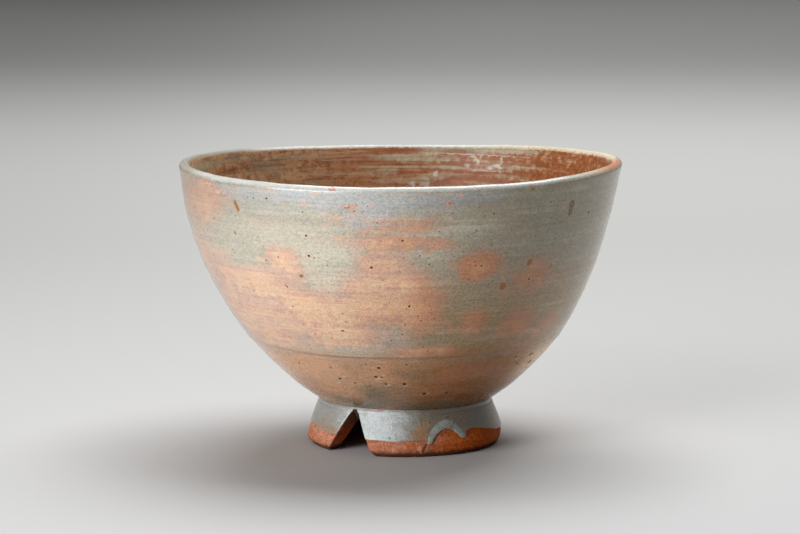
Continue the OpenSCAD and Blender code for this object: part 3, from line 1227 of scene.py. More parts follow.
GREENS = [
    (-11, 19.4, 12, 4, 0.52), (-17, 18.8, 7, 2.4, 0.45), (-20, 15, 8, 1.4, 0.5), (1, 20, 5, 2, 0.25),
    (20, 25, 7, 2, 0.15), (-34, 14.6, 14, 1.6, 0.6), (-39, 16.6, 9, 1.8, 0.45), (16, 14.8, 20, 2, 0.9),
    (60, 15, 30, 2, 0.2), (130, 16, 30, 4, 0.7), (7, 25.6, 6, 2.2, 0.5), (10, 27.5, 5, 1.6, 0.2),
    (0, 27.4, 5, 1.4, 0.4), (2, 30, 8, 1.4, 0.3), (30, 32, 9, 2, 0.5), (-130, 16, 40, 3, 0.7),
    (-22, 30, 8, 2, 0.35),
]

# TAN_LIT and TAN_DIM, and FLUSHED and PINK_DIM, are lit and painted-shade copies; both limbs get a painted
# sheen.
tan = mixed(dim_side, TAN_LIT, TAN_DIM)
right_limb_sheen = times(step(turn_deg, 46, 62), step(height_mm, 18, 24))
left_limb_sheen = times(step(turn_deg, -46, -66), before_back)
tan = veil(tan, right_limb_sheen, TAN_SHEEN_RIGHT, 0.7)
tan = veil(tan, left_limb_sheen, TAN_SHEEN_LEFT, 0.6)
toast = blend((glows(frayed, TOASTS), 1), (broad, 0.35), (mottle, 0.25), (fine, 0.25))
tan = veil(tan, step(toast, -0.1, 1.1), TOASTED, 0.8)
flush = blend((glows(frayed, FLUSHES), 1), (band, 0.3), (pebble, 0.25), (fine, 0.25))
tan = veil(tan, step(flush, 0, 1.1), mixed(dim_side, FLUSHED, PINK_DIM), 0.75)
moss = blend((glows(frayed, GREENS), 1), (mottle, 0.14), (fine, 0.1))
tan = veil(tan, step(moss, 0.05, 1.05), MOSS, 0.9)
gentle = step(blend((height_mm, 1), (broad, 1.5), (mottle, 1)), 36, 28)
colour = veil(colour, gentle, tan, 0.92)
# Painted shade: a faint darker band round the ledge at the trimming line.
shade_near_trim = within(blend((height_mm, 1), (fine, 0.5)), 29.5, 31.6, 31.8, 34.2)
colour = shaded(colour, blend((shade_near_trim, -0.08), base=1))
print(len(TOASTS), "toasted,", len(FLUSHES), "flushed and", len(GREENS), "mossy patches")

# %% [markdown]
# ### Broad tones
# These tones are painted light and shade: the glaze is painted darker towards the foot, except on the lit
# left, and darker high on the left under the lip, and painted lighter round the right side, most at its
# limb, as a sheen. They only shade the colour, so what is under them stays.

# %% Outer glaze: broad tones
# Painted shade: darker towards the foot, but not on the lit left.
shade_near_foot = step(blend((height_mm, 1), (broad, 1)), 26, 13)
lit_foot = times(step(turn_deg, -36, -90), before_back)
shade_near_foot = times(shade_near_foot, sums("SUBTRACT", 1, lit_foot))
colour = shaded(colour, blend((shade_near_foot, -0.32), base=1))
# Painted shade high on the left under the lip; painted light and rim sheen round the right side and its
# limb.
corner_shade = times(step(turn_deg, -16, -58), step(height_mm, 63, 80))
corner_shade = times(corner_shade, before_back)
right_side_light = times(within(turn_deg, 30, 60, 110, 170), step(height_mm, 18, 26))
rim = within(turn_deg, 60, 84, 100, 130)
low_edge_sheen = within(height_mm, 18, 26, 29, 38)
low_edge_sheen = times(low_edge_sheen, times(step(turn_deg, 42, 64), right_side_light))
light_and_shade = blend((corner_shade, -0.28), (right_side_light, 0.25), (low_edge_sheen, 0.7), (rim, 0.3), base=1)
colour = shaded(colour, light_and_shade)
print(len(bench.nodes), "nodes in the outer glaze so far")

# %% [markdown]
# ### The lip
# On the lip the glaze is thin and pale, the pale partly a painted highlight, creamy on the right, olive
# on the left, and rubbed to bare clay at one place. The height before the bowl settled, kept with each
# vertex, finds the lip where it dips and rises. The inside of the lip shares this paint, so it is a
# function.

# %% Outer glaze: lip
PALE_LIP_AND_HIGHLIGHT = paint(188, 188, 182)
BARE_LIP = paint(194, 114, 60)
CREAM_LIP = paint(203, 185, 153)
BARE_LIPS = [(76, 83, 21, 90)]
CREAM_LIPS = [(102, 82, 66, 90)]
OLIVE_LIPS = [(-100, 82, 46, 90)]


def lip_paint(flat, pebble, grain, bare_from, bare_share):
    """The lip's colours, the pale partly a painted highlight; the bare place starts at a level of its patch
    and covers a share.
    """
    painted = veil(PALE_LIP_AND_HIGHLIGHT, step(patches(flat, CREAM_LIPS), 0, 0.5), CREAM_LIP, 0.8)
    painted = veil(painted, step(patches(flat, OLIVE_LIPS), 0, 0.4), OLIVE, 0.75)
    bare = blend((patches(flat, BARE_LIPS), 1), (pebble, 0.3), (grain, 0.3))
    return veil(painted, step(bare, bare_from, 0.7), BARE_LIP, bare_share)


thrown = put("Attribute", attribute_name="thrown").outputs["Fac"]
at_lip = step(blend((thrown, 1), (grain, 0.1), (pebble, 0.14)), 80.4, 81.5)
colour = mixed(at_lip, colour, lip_paint(flat, pebble, grain, 0.1, 0.85))
print(len(bench.nodes), "nodes in the outer glaze so far")

# %% [markdown]
# ### Crumbs and grain
# Crumbs of clay stuck to the glaze under the lip and fired red. All over, grain shades the colour a
# little, more on the dim side, and the finest streaks are darker in thin lines. The crease under the
# trimming line is painted brown as shade, stronger away from the lit left.

# %% Outer glaze: crumbs and grain
CLAY_RED = paint(146, 76, 48)
FAINT_CRUMBS = [
    (-6.8, 76.8, 0.9, 0.7), (2.6, 78.4, 0.9, 0.8), (14.2, 79.6, 1.4, 0.8), (-21, 79.6, 1.6, 0.7),
    (-9.8, 79.2, 1.2, 0.5), (-3.6, 79.3, 0.8, 0.6), (-16, 73.2, 2.4, 1.2), (-24, 76.8, 1.8, 0.8),
    (12.4, 73.2, 0.9, 0.9), (-52, 78, 3, 1),
]
CRUMBS = [
    (-11.8, 76.1, 1.1, 0.95), (-13.4, 76.3, 1.2, 0.4), (11.6, 77.4, 0.7, 0.6), (12.6, 77.1, 0.6, 0.5),
    (-16.5, 81, 1, 0.4), (-57, 79.8, 2, 0.7), (34, 80.6, 0.9, 0.5), (120, 77, 1.2, 0.9),
    (-150, 78, 1.2, 1),
]

faint = blend((patches(torn, FAINT_CRUMBS), 1), (grain, 0.4), (pebble, 0.4))
faint = step(faint, -0.1, 0.7)
colour = veil(colour, faint, PINK_LIT, 0.55)
crumbs = step(blend((patches(torn, CRUMBS), 1), (grain, 0.6)), -0.35, 0.2)
crumb_colour = mixed(step(grain, -0.2, 0.6), PINK_LIT, CLAY_RED)
colour = veil(colour, crumbs, crumb_colour, 0.9)
gritty = blend((step(turn_deg, -42, -12), 0.24), base=0.03)
grainy = blend((at_lip, -0.1), base=0.15)
grit = blend((grain, grainy), (sand, gritty), (pebble, 0.05), (fine, 0.05), (line, 0.1), base=1)
colour = shaded(colour, grit)
# Where the finest streaks cross the broad ones, the colour is darker in thin lines.
dark_lines = times(step(line, 0.3, 0.8), step(broad, -0.4, 0.5))
colour = shaded(colour, blend((dark_lines, -0.18), base=1))
crease = put("Attribute", attribute_name="crease").outputs["Fac"]
# Painted shade: the crease under the trimming line is darkened with brown, less on the lit left.
colour = veil(colour, crease, TOASTED, blend((step(turn_deg, -52, -20), 0.42), base=0.15))
print(len(CRUMBS) + len(FAINT_CRUMBS), "crumbs")

# %% [markdown]
# ### Spots, drips and specks
# Iron bled rust through the glaze in a few spots, and one drip ran below the lip. Fine pepper, larger
# iron specks, pale salts and the short pale dashes that the tool dragged finish the surface.

# %% Outer glaze: spots and specks
RUST = paint(140, 84, 12)
DRIP_EDGE = paint(92, 58, 24)
DRIP = paint(146, 116, 72)
IRON = paint(62, 46, 36)
SALT = paint(214, 204, 184)
ORANGE_SPOTS = [
    (-27.5, 56, 0.75, 0.6), (29.7, 52.8, 1.2, 1.35), (37.3, 59.2, 0.95, 1.1), (-45.9, 75.4, 0.7, 1),
    (-45.4, 74.4, 0.7, 1), (-45, 73.6, 0.6, 0.8), (-47.5, 66.8, 0.4, 0.7), (46, 57.4, 0.4, 0.6),
    (34.2, 80.2, 0.7, 0.5), (100, 66, 0.9, 1), (-125, 55, 0.8, 1.1),
]
DRIPS = [(49.2, 74.7, 1.1, 1.2), (49.1, 73.4, 0.95, 1.2), (49.1, 72.2, 0.85, 0.8)]
PALE_DASHES = [
    (-10, 25, 2, 0.28), (-8.6, 26.1, 1, 0.25), (10.8, 19.7, 0.7, 0.4), (0.4, 22.6, 1.2, 0.25),
    (-26, 25, 1.4, 0.25), (-31, 22.5, 2, 0.3), (48, 29, 1.4, 0.3), (60, 27.2, 1.5, 0.3),
    (-40, 24, 1.6, 0.25), (-7, 22.7, 1, 0.25),
]

spots = patches(flat, ORANGE_SPOTS)
colour = veil(colour, step(spots, 0, 0.4), RUST, 0.9)
drips = patches(flat, DRIPS)
colour = veil(colour, step(drips, 0, 0.2), DRIP_EDGE, 0.9)
colour = veil(colour, step(drips, 0.4, 0.65), DRIP, 0.8)
pepper = specked(spot_mm, 2, 0.1, 0.5)
colour = veil(colour, pepper, IRON, blend((at_lip, -0.3), base=0.42))
specks = specked(spot_mm, 0.62, 0.26, 0.55)
colour = veil(colour, specks, IRON, blend((at_lip, -0.5), base=0.8))
salts = specked(spot_mm, 1.1, 0.15, 0.2)
colour = veil(colour, salts, SALT, 0.5)
dashes = step(patches(torn, PALE_DASHES), 0, 0.6)
colour = veil(colour, dashes, SALT, 0.6)
print(len(ORANGE_SPOTS), "rust spots and", len(PALE_DASHES), "pale dashes")

# %% [markdown]
# ### Pinholes and pits
# Gas left pinholes in the glaze, the larger ones with an amber rim, and the trimming tool dragged grains
# out and left flat pits. Each is a turn, a height and a size.

# %% Outer glaze: pinholes and pits
AMBER = paint(206, 160, 104)
INK = paint(38, 18, 6)
PINHOLES = [
    (-24, 67.8, 0.42), (-24, 62, 0.5), (-7.2, 59.3, 0.5), (-38, 59.7, 0.35), (1, 67, 0.42),
    (2.5, 48, 0.5), (5.5, 62.7, 0.3), (8, 60.2, 0.3), (6, 43.5, 0.3), (5, 45, 0.3), (38.5, 54.2, 0.5),
    (60, 50.4, 0.45), (58.2, 71.4, 0.55), (22.3, 59.2, 0.4), (20.6, 59.3, 0.36), (38, 60, 0.3),
    (-47, 50, 0.35), (-33, 52.4, 0.35), (0, 39.5, 0.32), (50, 55, 0.35), (-33.5, 46.5, 0.35),
    (-35, 77.5, 0.4), (-56, 70, 0.35), (24, 74, 0.35), (41, 76, 0.32), (90, 60, 0.45), (120, 52, 0.4),
    (150, 63, 0.5), (-110, 57, 0.45), (-140, 66, 0.4), (-170, 50, 0.5), (105, 45, 0.35), (-95, 49, 0.4),
]
DRAG_PITS = [
    (-9.7, 28.5, 0.8), (-11.6, 25.5, 0.8), (-9.2, 25.4, 0.5), (-8, 23.2, 0.7), (0, 23.2, 0.9),
    (9.2, 19.7, 1.0), (20.5, 19.7, 0.8), (47, 29.6, 0.8), (56.5, 29.5, 1.1), (51, 27.2, 1.1),
    (62, 26.5, 1.6), (1, 29.8, 0.5), (-28.5, 24, 0.7), (-45, 28, 0.5), (-19, 40, 0.6), (-30, 27.5, 0.5),
    (-22, 23, 0.6), (90, 25, 1), (110, 29, 1), (150, 23, 0.8), (-100, 27, 1), (-130, 22, 0.8),
    (-165, 29, 1), (175, 26, 0.9),
]
RIMMED = 16

rims = [(turn + 0.3, high - 0.15, size * 1.7, size * 1.5) for turn, high, size in PINHOLES[:RIMMED]]
colour = veil(colour, step(patches(flat, rims), 0.1, 0.5), AMBER, 0.55)
holes = [(turn, high, size, size * 0.9) for turn, high, size in PINHOLES]
holes = step(patches(flat, holes), 0.15, 0.5)
pits = [(turn, high, size * 0.95, size * 0.46) for turn, high, size in DRAG_PITS]
pits = step(patches(torn, pits), -0.1, 0.35)
dark = sums("MAXIMUM", holes, pits)
colour = veil(colour, dark, INK, 0.95)
print(len(PINHOLES), "pinholes and", len(DRAG_PITS), "pits")

# %% [markdown]
# ### Relief and gloss
# The glaze is satin: a soft shine with a thin clear coat on top, which is missing in the pits and weaker
# below the trimming line. Grain, streaks and pits also go into a bump, in millimetres.

# %% Outer glaze: relief and gloss
relief = blend(
    (grain, 0.006), (sand, 0.004), (pebble, 0.005), (line, 0.005), (fine, 0.006),
    (dark, -0.12), (specks, -0.02),
)
rough = blend((grain, 0.04), (blush, 0.05), (pebble, 0.02), base=0.27)
coat = blend((dark, -0.6), (crumbs, -0.3), (gentle, -0.3), base=0.6)
dress(shader, colour, rough, relief, Specular_IOR_Level=0.15, Coat_Weight=coat, Coat_Roughness=0.17)
print(len(bench.nodes), "nodes in the outer glaze")

# %% [markdown]
# ## The inner glaze's finish
# Inside, the same glaze lay thin on the ridges of the throwing spiral and broke to rust brown, and
# stayed grey-green and milky where it pooled along the rings. So the colour here is mostly a matter of
# short streaks: noise drawn out along the rings, broken up by rounder noise. Olive glaze lies on one
# side and toasted orange on the other.

# %% Inner glaze: streaks and runs
RED_BROWN = paint(146, 86, 54)
WARM_BROWN = paint(166, 116, 80)
OLIVE_BROWN = paint(212, 176, 132)
BURNT_ORANGE = paint(136, 76, 31)
SEDGE = paint(170, 162, 136)
MILKY = paint(200, 196, 182)
OLIVE_SIDE = [(-122, 70, 62, 60)]
ORANGE_SIDE = [(112, 70, 44, 60)]
MILK_RUNS = [
    (158.4, 78.8, 0.8, 0.6), (157.4, 78, 0.8, 0.7), (156.4, 77, 0.7, 0.8), (155.6, 78.2, 0.5, 0.8),
    (149, 78, 0.6, 0.9), (148.6, 76.8, 0.8, 0.9), (150.4, 75.9, 1.6, 0.6), (152.6, 75.4, 1.4, 0.6),
    (152, 74.3, 8, 0.22), (156, 79.1, 18, 0.18), (159.5, 75.6, 1.1, 0.8), (169.2, 72.8, 1, 0.9),
    (172.2, 69.6, 1.6, 0.9), (175.7, 69.8, 1.2, 1.1),
]
RUST_BANDS = [
    (180, 80.1, 7, 1, 0.9), (163, 79.8, 6, 0.7, 0.9), (172, 75.4, 6, 0.7, 0.4),
    (160, 72.6, 12, 0.8, 0.7), (150, 71.6, 8, 0.7, 0.6), (-172, 77, 5, 1.2, 0.6), (-160, 74, 8, 1, 0.6),
    (-164, 76.4, 6, 1.4, 0.5), (138, 79, 5, 1, 0.6), (127, 76, 6, 2, 0.6),
]
SEDGE_BANDS = [
    (166, 80.4, 10, 1.5, 1), (148, 80.8, 12, 1.1, 0.9), (-178, 78, 7, 0.8, 0.8),
    (-120, 79.8, 20, 1.8, 0.6), (-98, 78, 12, 2.4, 0.7), (172, 77.4, 14, 0.9, 0.8),
    (-174, 73, 8, 0.8, 0.6), (168, 72, 9, 0.8, 0.6), (-138, 76, 7, 2, 0.7), (143, 75.6, 7, 1.1, 0.6),
    (167, 75, 5, 1, 0.5), (146, 73, 10, 0.8, 0.6), (178, 70.4, 12, 1.2, 0.6),
]

shader, spot_mm, flat, height_mm = finish("inner_glaze", inner_skin)
broad = streaks(spot_mm, 0.28, 10)
band = streaks(spot_mm, 0.62, 9, 30)
fine = streaks(spot_mm, 1.1, 18, 20)
line = streaks(spot_mm, 1.3, 50, 90)
mottle = streaks(spot_mm, 0.42, 1.5, 40)
pebble = streaks(spot_mm, 0.8, 1.3, 50)
cloud = streaks(spot_mm, 0.05, 1, 60)
grain = streaks(spot_mm, 1.6, 1, 80)
frayed = nudged(flat, blend((mottle, 2), (band, 1)), blend((pebble, 0.35)))
ridged = step(blend((mottle, 0.7), (fine, 0.5), (band, 0.5)), -0.9, 0.9)
brown = mixed(ridged, RED_BROWN, WARM_BROWN)
olive_side = step(blend((patches(flat, OLIVE_SIDE), 1), (mottle, 0.2)), 0, 0.6)
orange_side = step(blend((patches(flat, ORANGE_SIDE), 1), (mottle, 0.2)), 0, 0.5)
spotty = step(blend((pebble, 1), (band, 0.5), (mottle, 0.9), (broad, 0.3)), -0.7, 0.9)
brown = veil(brown, olive_side, mixed(spotty, OLIVE_BROWN, RED_BROWN), 0.9)
burnt = step(blend((pebble, 1), (mottle, 0.5), (grain, 0.4)), -0.3, 1)
brown = veil(brown, orange_side, mixed(burnt, BURNT_ORANGE, WARM_BROWN), 0.85)
pooled = blend((band, 0.6), (broad, 0.4), (fine, 0.7), (line, 0.5), (pebble, 0.4), (mottle, 0.2))
pooled = blend((orange_side, -0.4), (olive_side, -0.15), base=pooled)
colour = veil(brown, step(pooled, -0.1, 0.9), SEDGE, 0.8)
sedge = blend((glows(frayed, SEDGE_BANDS), 1), (mottle, 0.25), (pebble, 0.2))
colour = veil(colour, step(sedge, 0.2, 1), SEDGE, 0.85)
rust = blend((glows(frayed, RUST_BANDS), 1), (mottle, 0.2), (pebble, 0.2))
colour = veil(colour, step(rust, 0.2, 1), RED_BROWN, 0.8)
flowed = nudged(flat, blend((pebble, 0.5)), blend((mottle, 0.35), (pebble, 0.15)))
milk = blend((patches(flowed, MILK_RUNS), 1), (pebble, 0.4), (grain, 0.2))
colour = veil(colour, step(milk, -0.3, 0.7), MILKY, 0.7)
print(len(MILK_RUNS), "milky runs,", len(RUST_BANDS), "rust and", len(SEDGE_BANDS), "sedge bands")

# %% Inner glaze: lip, pool and gloss
thrown = put("Attribute", attribute_name="thrown").outputs["Fac"]
creamy = step(patches(flat, CREAM_LIPS), 0, 0.5)
at_lip = step(blend((thrown, 1), (creamy, 0.25), (grain, 0.12), (pebble, 0.2)), 80.9, 81.6)
colour = mixed(at_lip, colour, lip_paint(flat, pebble, grain, 0.2, 0.8))
pool = step(blend((height_mm, 1), (cloud, 3)), 22, 16)
colour = veil(colour, pool, OLIVE, 0.6)
colour = shaded(colour, blend((grain, 0.15), (pebble, 0.12), (fine, 0.08), (line, 0.1), base=1))
specks = specked(spot_mm, 0.7, 0.22, 0.6)
colour = veil(colour, specks, IRON, 0.6)
salts = specked(spot_mm, 0.9, 0.25, 0.3)
colour = veil(colour, salts, SEDGE, 0.5)
relief = blend((grain, 0.012), (fine, 0.02), (band, 0.03), (pebble, 0.02))
rough = blend((grain, 0.04), (pooled, -0.06), base=0.4)
dress(shader, colour, rough, relief, Specular_IOR_Level=0.25)
print(len(bench.nodes), "nodes in the inner glaze")

# %% [markdown]
# ## Bare clay
# The clay is a sandy stoneware full of iron. Fired, it went salmon where it was sheltered and orange
# brown where the flame reached it, with pale and dark grains. The foot and the well under the bowl share
# one recipe. On the foot a hair crack runs from the finger mark to the base, beside a pale chip. The
# lowest bevel of the base is painted dark, as shade.

# %% Clay: finish
SALMON = paint(176, 122, 98)
FLAMED = paint(160, 86, 48)
SUNSET = paint(186, 84, 4)
SCORCH_AND_SHADE = paint(62, 36, 24)
CUT_CLAY = paint(196, 72, 4)
CUT_GLAZE = paint(98, 76, 48)
PALE_GRAIN = paint(206, 160, 128)
CLAY_ROUGHNESS = 0.75
CRACK_STEPS = 6
CRACK_REACH = (0.5, 0.5)
crack_places = np.linspace(CRACK_TOP, CRACK_END, CRACK_STEPS)
CRACK = [(*place.tolist(), *CRACK_REACH) for place in crack_places]
CHIPS = [
    (8.2, 2.7, 1.5, 0.9), (9, 1.7, 0.8, 0.7), (39, 4.6, 0.7, 0.6), (45, 4, 0.8, 0.8), (44, 5.2, 0.5, 0.5),
]
SUNNY_SIDE = [(56, 3, 46, 40)]


def clay_finish(name, piece):
    shader, spot_mm, flat, height_mm = finish(name, piece)
    cloud = streaks(spot_mm, 0.12, 1)
    mottle = streaks(spot_mm, 0.5, 1.5, 20)
    pebble = streaks(spot_mm, 1.1, 1.2, 30)
    grain = streaks(spot_mm, 2.6, 1, 40)
    toast = blend((cloud, 0.8), (mottle, 0.4))
    colour = mixed(step(toast, -0.7, 0.8), SALMON, FLAMED)
    sunny = step(blend((patches(flat, SUNNY_SIDE), 1), (mottle, 0.15)), 0, 0.6)
    colour = veil(colour, sunny, SUNSET, 0.92)
    colour = veil(colour, step(toast, 0.5, 1.3), SCORCH_AND_SHADE, 0.6)
    at = put("SeparateXYZ", {0: spot_mm}).outputs
    edge = blend((at[2], -CUT_SPREAD), base=cut_half(0) / MM)
    beside = sums("ABSOLUTE", sums("SUBTRACT", at[0], CUT_ASIDE / MM))
    beyond = sums("SUBTRACT", beside, edge)
    in_cut = times(step(beyond, 0.35, 0.1), step(at[1], -14, -17))
    colour = veil(colour, in_cut, CUT_CLAY, 0.85)
    dripped = step(blend((mottle, 1), (pebble, 0.6), (height_mm, 0.25)), 1, 2.2)
    colour = veil(colour, times(in_cut, dripped), CUT_GLAZE, 0.85)
    colour = shaded(colour, blend((grain, 0.5), (pebble, 0.3), base=1))
    # Painted shade: the bevel under the base is darkened with the scorched brown.
    shade_at_base = step(blend((height_mm, 1), (pebble, 0.3)), 2.3, 0.7)
    colour = veil(colour, shade_at_base, SCORCH_AND_SHADE, 0.92)
    pale = specked(spot_mm, 1.1, 0.2, 0.5)
    colour = veil(colour, pale, PALE_GRAIN, 0.7)
    chips = step(blend((patches(flat, CHIPS), 1), (pebble, 0.3)), 0, 0.5)
    colour = veil(colour, chips, PALE_GRAIN, 0.6)
    specks = specked(spot_mm, 0.8, 0.22, 0.5)
    colour = veil(colour, specks, IRON, 0.65)
    colour = veil(colour, step(patches(flat, CRACK), 0, 0.5), INK, 0.75)
    relief = blend((grain, 0.07), (pebble, 0.06), (mottle, 0.02), (specks, -0.05))
    dress(shader, colour, CLAY_ROUGHNESS, relief, Specular_IOR_Level=0.15)
    print(len(bench.nodes), "nodes in", name)


clay_finish("bowl_clay", wall)
clay_finish("foot_clay", foot)

# %% [markdown]
# ## Glaze on the foot
# The glaze on the foot is thin and cool grey, satin where it lies thick and stained brown where the clay
# shows through it, towards its lower edge. Its sides are painted duller and darker, partly the glaze's
# own colour and partly painted shade, so that the cool grey front between them also stands for a painted
# sheen, and its right limb is painted lighter as a sheen. The bead round the finger mark is thicker, so
# it is paler and glossier. The slip in the joint was covered by the same glaze, except for a thin line
# where it shrank back.

# %% Foot glaze, run and slip: finish
COOL_GREY = paint(168, 174, 175)
DULL_GREEN = paint(93, 80, 55)
STAIN = paint(142, 102, 66)
RUN_GREY = paint(150, 154, 148)
STAINS = [
    (9, 6.8, 4.6, 2.8, 0.95), (3, 5.6, 6, 1, 0.4), (-64, 6.8, 14, 1.6, 0.6), (-46, 6.4, 8, 1.2, 0.5),
    (-56, 10, 5, 1.2, 0.2), (13, 9.8, 2.4, 1.2, 0.6), (62, 6.8, 18, 0.8, 0.5), (42, 7.6, 7, 0.8, 0.3),
    (120, 6.4, 30, 1, 0.6), (-120, 6.4, 30, 1.2, 0.6), (32, 10.6, 12, 1.2, 0.4), (-8, 12, 4, 0.4, 0.4),
]
FOOT_HOLES = [
    (-9, 5.7, 0.55, 0.45), (10, 10.3, 0.5, 0.4), (12.5, 10.4, 0.45, 0.35), (15.5, 9.9, 0.5, 0.4),
    (20, 10.6, 0.5, 0.35), (17.5, 10.9, 0.4, 0.3), (28, 11, 0.45, 0.4), (-62, 8.4, 0.4, 0.4),
    (46, 9, 0.4, 0.4), (90, 9, 0.5, 0.4), (33, 10.2, 0.6, 0.4), (36.5, 9.4, 0.6, 0.4),
    (40, 10.4, 0.6, 0.4), (43, 9.2, 0.5, 0.4), (51, 10.8, 0.5, 0.4), (57, 11.6, 0.5, 0.35),
]
DULL_SHADED_RIGHT = [(60, 8, 73, 90)]
DULL_SHADED_LEFT = [(-112, 8, 90, 90)]
CRISP_FRONT = [(-10, 6, 16, 90)]
LIMB_SHEEN_SPOT = [(86, 9, 30, 60)]
BARE_SLIP = [(-25, 13.1, 5, 0.35), (-17, 13.1, 5, 0.32), (-7, 13.05, 6, 0.24), (-120, 13.1, 16, 0.35)]

for name, piece, wet in (("foot_glaze", foot_skin, 0.34), ("glaze_run", run, 0.3), ("slip", slip, 0.4)):
    shader, spot_mm, flat, height_mm = finish(name, piece)
    cloud = streaks(spot_mm, 0.16, 1.5)
    mottle = streaks(spot_mm, 0.5, 1.3, 20)
    pebble = streaks(spot_mm, 1.1, 1.2, 30)
    grain = streaks(spot_mm, 2.6, 1, 40)
    sand = streaks(spot_mm, 3.2, 1, 50)
    # Partly painted shade: both sides go duller and darker, leaving the cool grey front as a painted sheen.
    dull_shaded_right = step(blend((patches(flat, DULL_SHADED_RIGHT), 1), (mottle, 0.06)), 0, 0.36)
    dull_shaded_left = step(blend((patches(flat, DULL_SHADED_LEFT), 1), (mottle, 0.1)), 0, 0.35)
    colour = mixed(step(blend((cloud, 0.4), (mottle, 0.4)), 0, 1.6), COOL_GREY, DULL_GREEN)
    colour = veil(colour, dull_shaded_right, DULL_GREEN, 0.88)
    colour = veil(colour, dull_shaded_left, DULL_GREEN, 0.58)
    if piece is foot_skin:
        stain = blend((glows(flat, STAINS), 1), (mottle, 0.12), (pebble, 0.2), (sand, 0.2))
        colour = veil(colour, step(stain, 0.05, 1.1), STAIN, 0.85)
        crisp = step(patches(flat, CRISP_FRONT), 0, 0.4)
        edge = put("Attribute", attribute_name="edge").outputs["Fac"]
        edge = blend((edge, 1), (mottle, 0.3), (pebble, 0.2), (crisp, -0.7))
        colour = veil(colour, step(edge, 0.3, 1.1), STAIN, 0.8)
    elif piece is run:
        colour = veil(colour, step(mottle, -1.2, 0.3), RUN_GREY, 0.75)
    else:
        bare = blend((patches(flat, BARE_SLIP), 1), (pebble, 0.3))
        colour = veil(colour, step(bare, 0, 0.6), FLAMED, 0.7)
    # Painted sheen: the glaze is painted lighter at the foot's right limb, through grit below.
    limb_sheen = step(patches(flat, LIMB_SHEEN_SPOT), 0, 0.7)
    grit = blend((grain, 0.26), (sand, 0.2), (pebble, 0.14), (limb_sheen, 0.75), base=1)
    colour = shaded(colour, grit)
    specks = specked(spot_mm, 1.1, 0.2, 0.8)
    colour = veil(colour, specks, IRON, blend((dull_shaded_right, 0.3), base=0.5))
    holes = step(patches(flat, FOOT_HOLES), 0.1, 0.6)
    colour = veil(colour, holes, INK, 0.85)
    relief = blend((grain, 0.045), (sand, 0.012), (pebble, 0.03), (mottle, 0.008), (holes, -0.15))
    rough = blend((grain, 0.05), (pebble, 0.03), base=wet)
    dress(shader, colour, rough, relief, Coat_Weight=0.35, Coat_Roughness=0.25)
    print(len(bench.nodes), "nodes in", name)

# %% [markdown]
# ## Table and light
# The bowl stands on a pale seamless surface that goes darker far behind it. Three soft lamps light it: a
# wide one above, which fills the inside of the bowl and lays a shadow under it, one low on the left,
# which models the wall and leaves the right side dim, and a small one in front for the gleam on the lip.
# The room itself is dim and shows more in reflections. A little light that only the camera sees makes
# the haze far behind.

# %% Table
FLOOR_R = 9
NEAR_GREY = paint(187, 187, 187)
MIDDLE_GREY = paint(171, 171, 169)
FAR_WHITE = paint(246, 246, 242)
bpy.ops.object.select_all(action="DESELECT")
bpy.ops.mesh.primitive_circle_add(vertices=96, radius=FLOOR_R, fill_type="NGON", location=(0, 0, 0))
floor = bpy.context.object
floor.name = "floor"
material = bpy.data.materials.new("floor")
material.use_nodes = True
work_in(material.node_tree)
shader = bench.nodes["Principled BSDF"]
place = put("TexCoord").outputs["Object"]
behind = distance_along(place, -TOWARDS)
pale = mixed(step(behind, -0.1, 0.5), NEAR_GREY, MIDDLE_GREY)
pale = mixed(step(behind, 1.6, 2.9), pale, FAR_WHITE)
aside = distance_along(place, RIGHT)
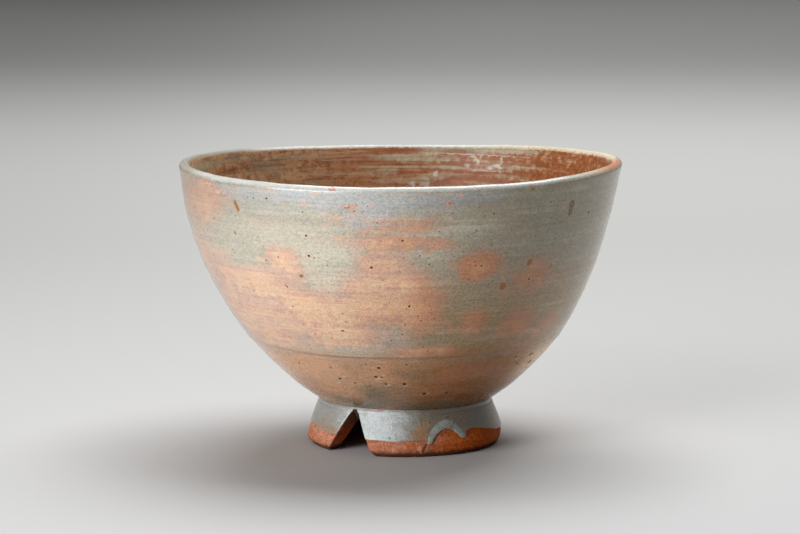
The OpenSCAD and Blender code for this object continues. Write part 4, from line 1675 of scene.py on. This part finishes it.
# Painted shade: the floor is a little darker towards the left.
pale = shaded(pale, blend((step(aside, -0.04, -0.24), -0.08), base=1))
fill(shader.inputs["Base Color"], pale)
seen = put("LightPath").outputs["Is Camera Ray"]
haze = blend((step(aside, -0.45, 0.15), 0.07), base=0.03)
haze = times(step(behind, 0.4, 1.1), haze)
fill(shader.inputs["Emission Strength"], times(seen, haze))
shader.inputs["Emission Color"].default_value = (1, 1, 0.98, 1)
shader.inputs["Roughness"].default_value = 0.7
shader.inputs["Specular IOR Level"].default_value = 0
floor.data.materials.append(material)
print("floor radius in m:", FLOOR_R)

# %% Lamps
LAMPS = [
    ("top_softbox", (0.19, -0.57, 1.38), (1.4, 1.1), 34),
    ("left_softbox", (-0.84, 0.71, 0.22), (0.75, 0.5), 13.9),
    ("front_softbox", (-0.48, 0.83, 0.72), (0.25, 0.25), 1.6),
]
LOOK_AT = Vector((0, 0, 0.045))
ROOM_GREY = (0.49, 0.5, 0.51, 1)
for name, where, size, watts in LAMPS:
    place = seen_at(*where)
    aim = (LOOK_AT - place).to_track_quat("-Z", "Y").to_euler()
    bpy.ops.object.light_add(type="AREA", location=place, rotation=aim)
    lamp = bpy.context.object
    lamp.name = name
    lamp.data.shape = "RECTANGLE"
    lamp.data.size = size[0]
    lamp.data.size_y = size[1]
    lamp.data.energy = watts
    lamp.visible_camera = False
world = bpy.data.worlds.new("room")
bpy.context.scene.world = world
world.use_nodes = True
work_in(world.node_tree)
room = bench.nodes["Background"]
room.inputs["Color"].default_value = ROOM_GREY
mirrored = put("LightPath").outputs["Is Glossy Ray"]
fill(room.inputs["Strength"], sums("MULTIPLY_ADD", mirrored, 0.6, 0.15))
print("lamps:", [name for name, *_ in LAMPS])

# %% [markdown]
# ## Hand the pieces over
# Each new piece rides on the bowl's one body and stands in for one CAD node, which is hidden.

# %% Hand over
PIECES = [
    (wall, "bowl_wall", "bowl_clay"),
    (foot, "foot_ring", "foot_clay"),
    (slip, "joint_slip", "slip"),
    (outer_skin, "outer_glaze", "outer_glaze"),
    (inner_skin, "inner_glaze", "inner_glaze"),
    (foot_skin, "foot_glaze", "foot_glaze"),
    (run, "glaze_run", "glaze_run"),
]
for piece, node_name, slot_name in PIECES:
    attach(piece, "root")
    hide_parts(node_name)
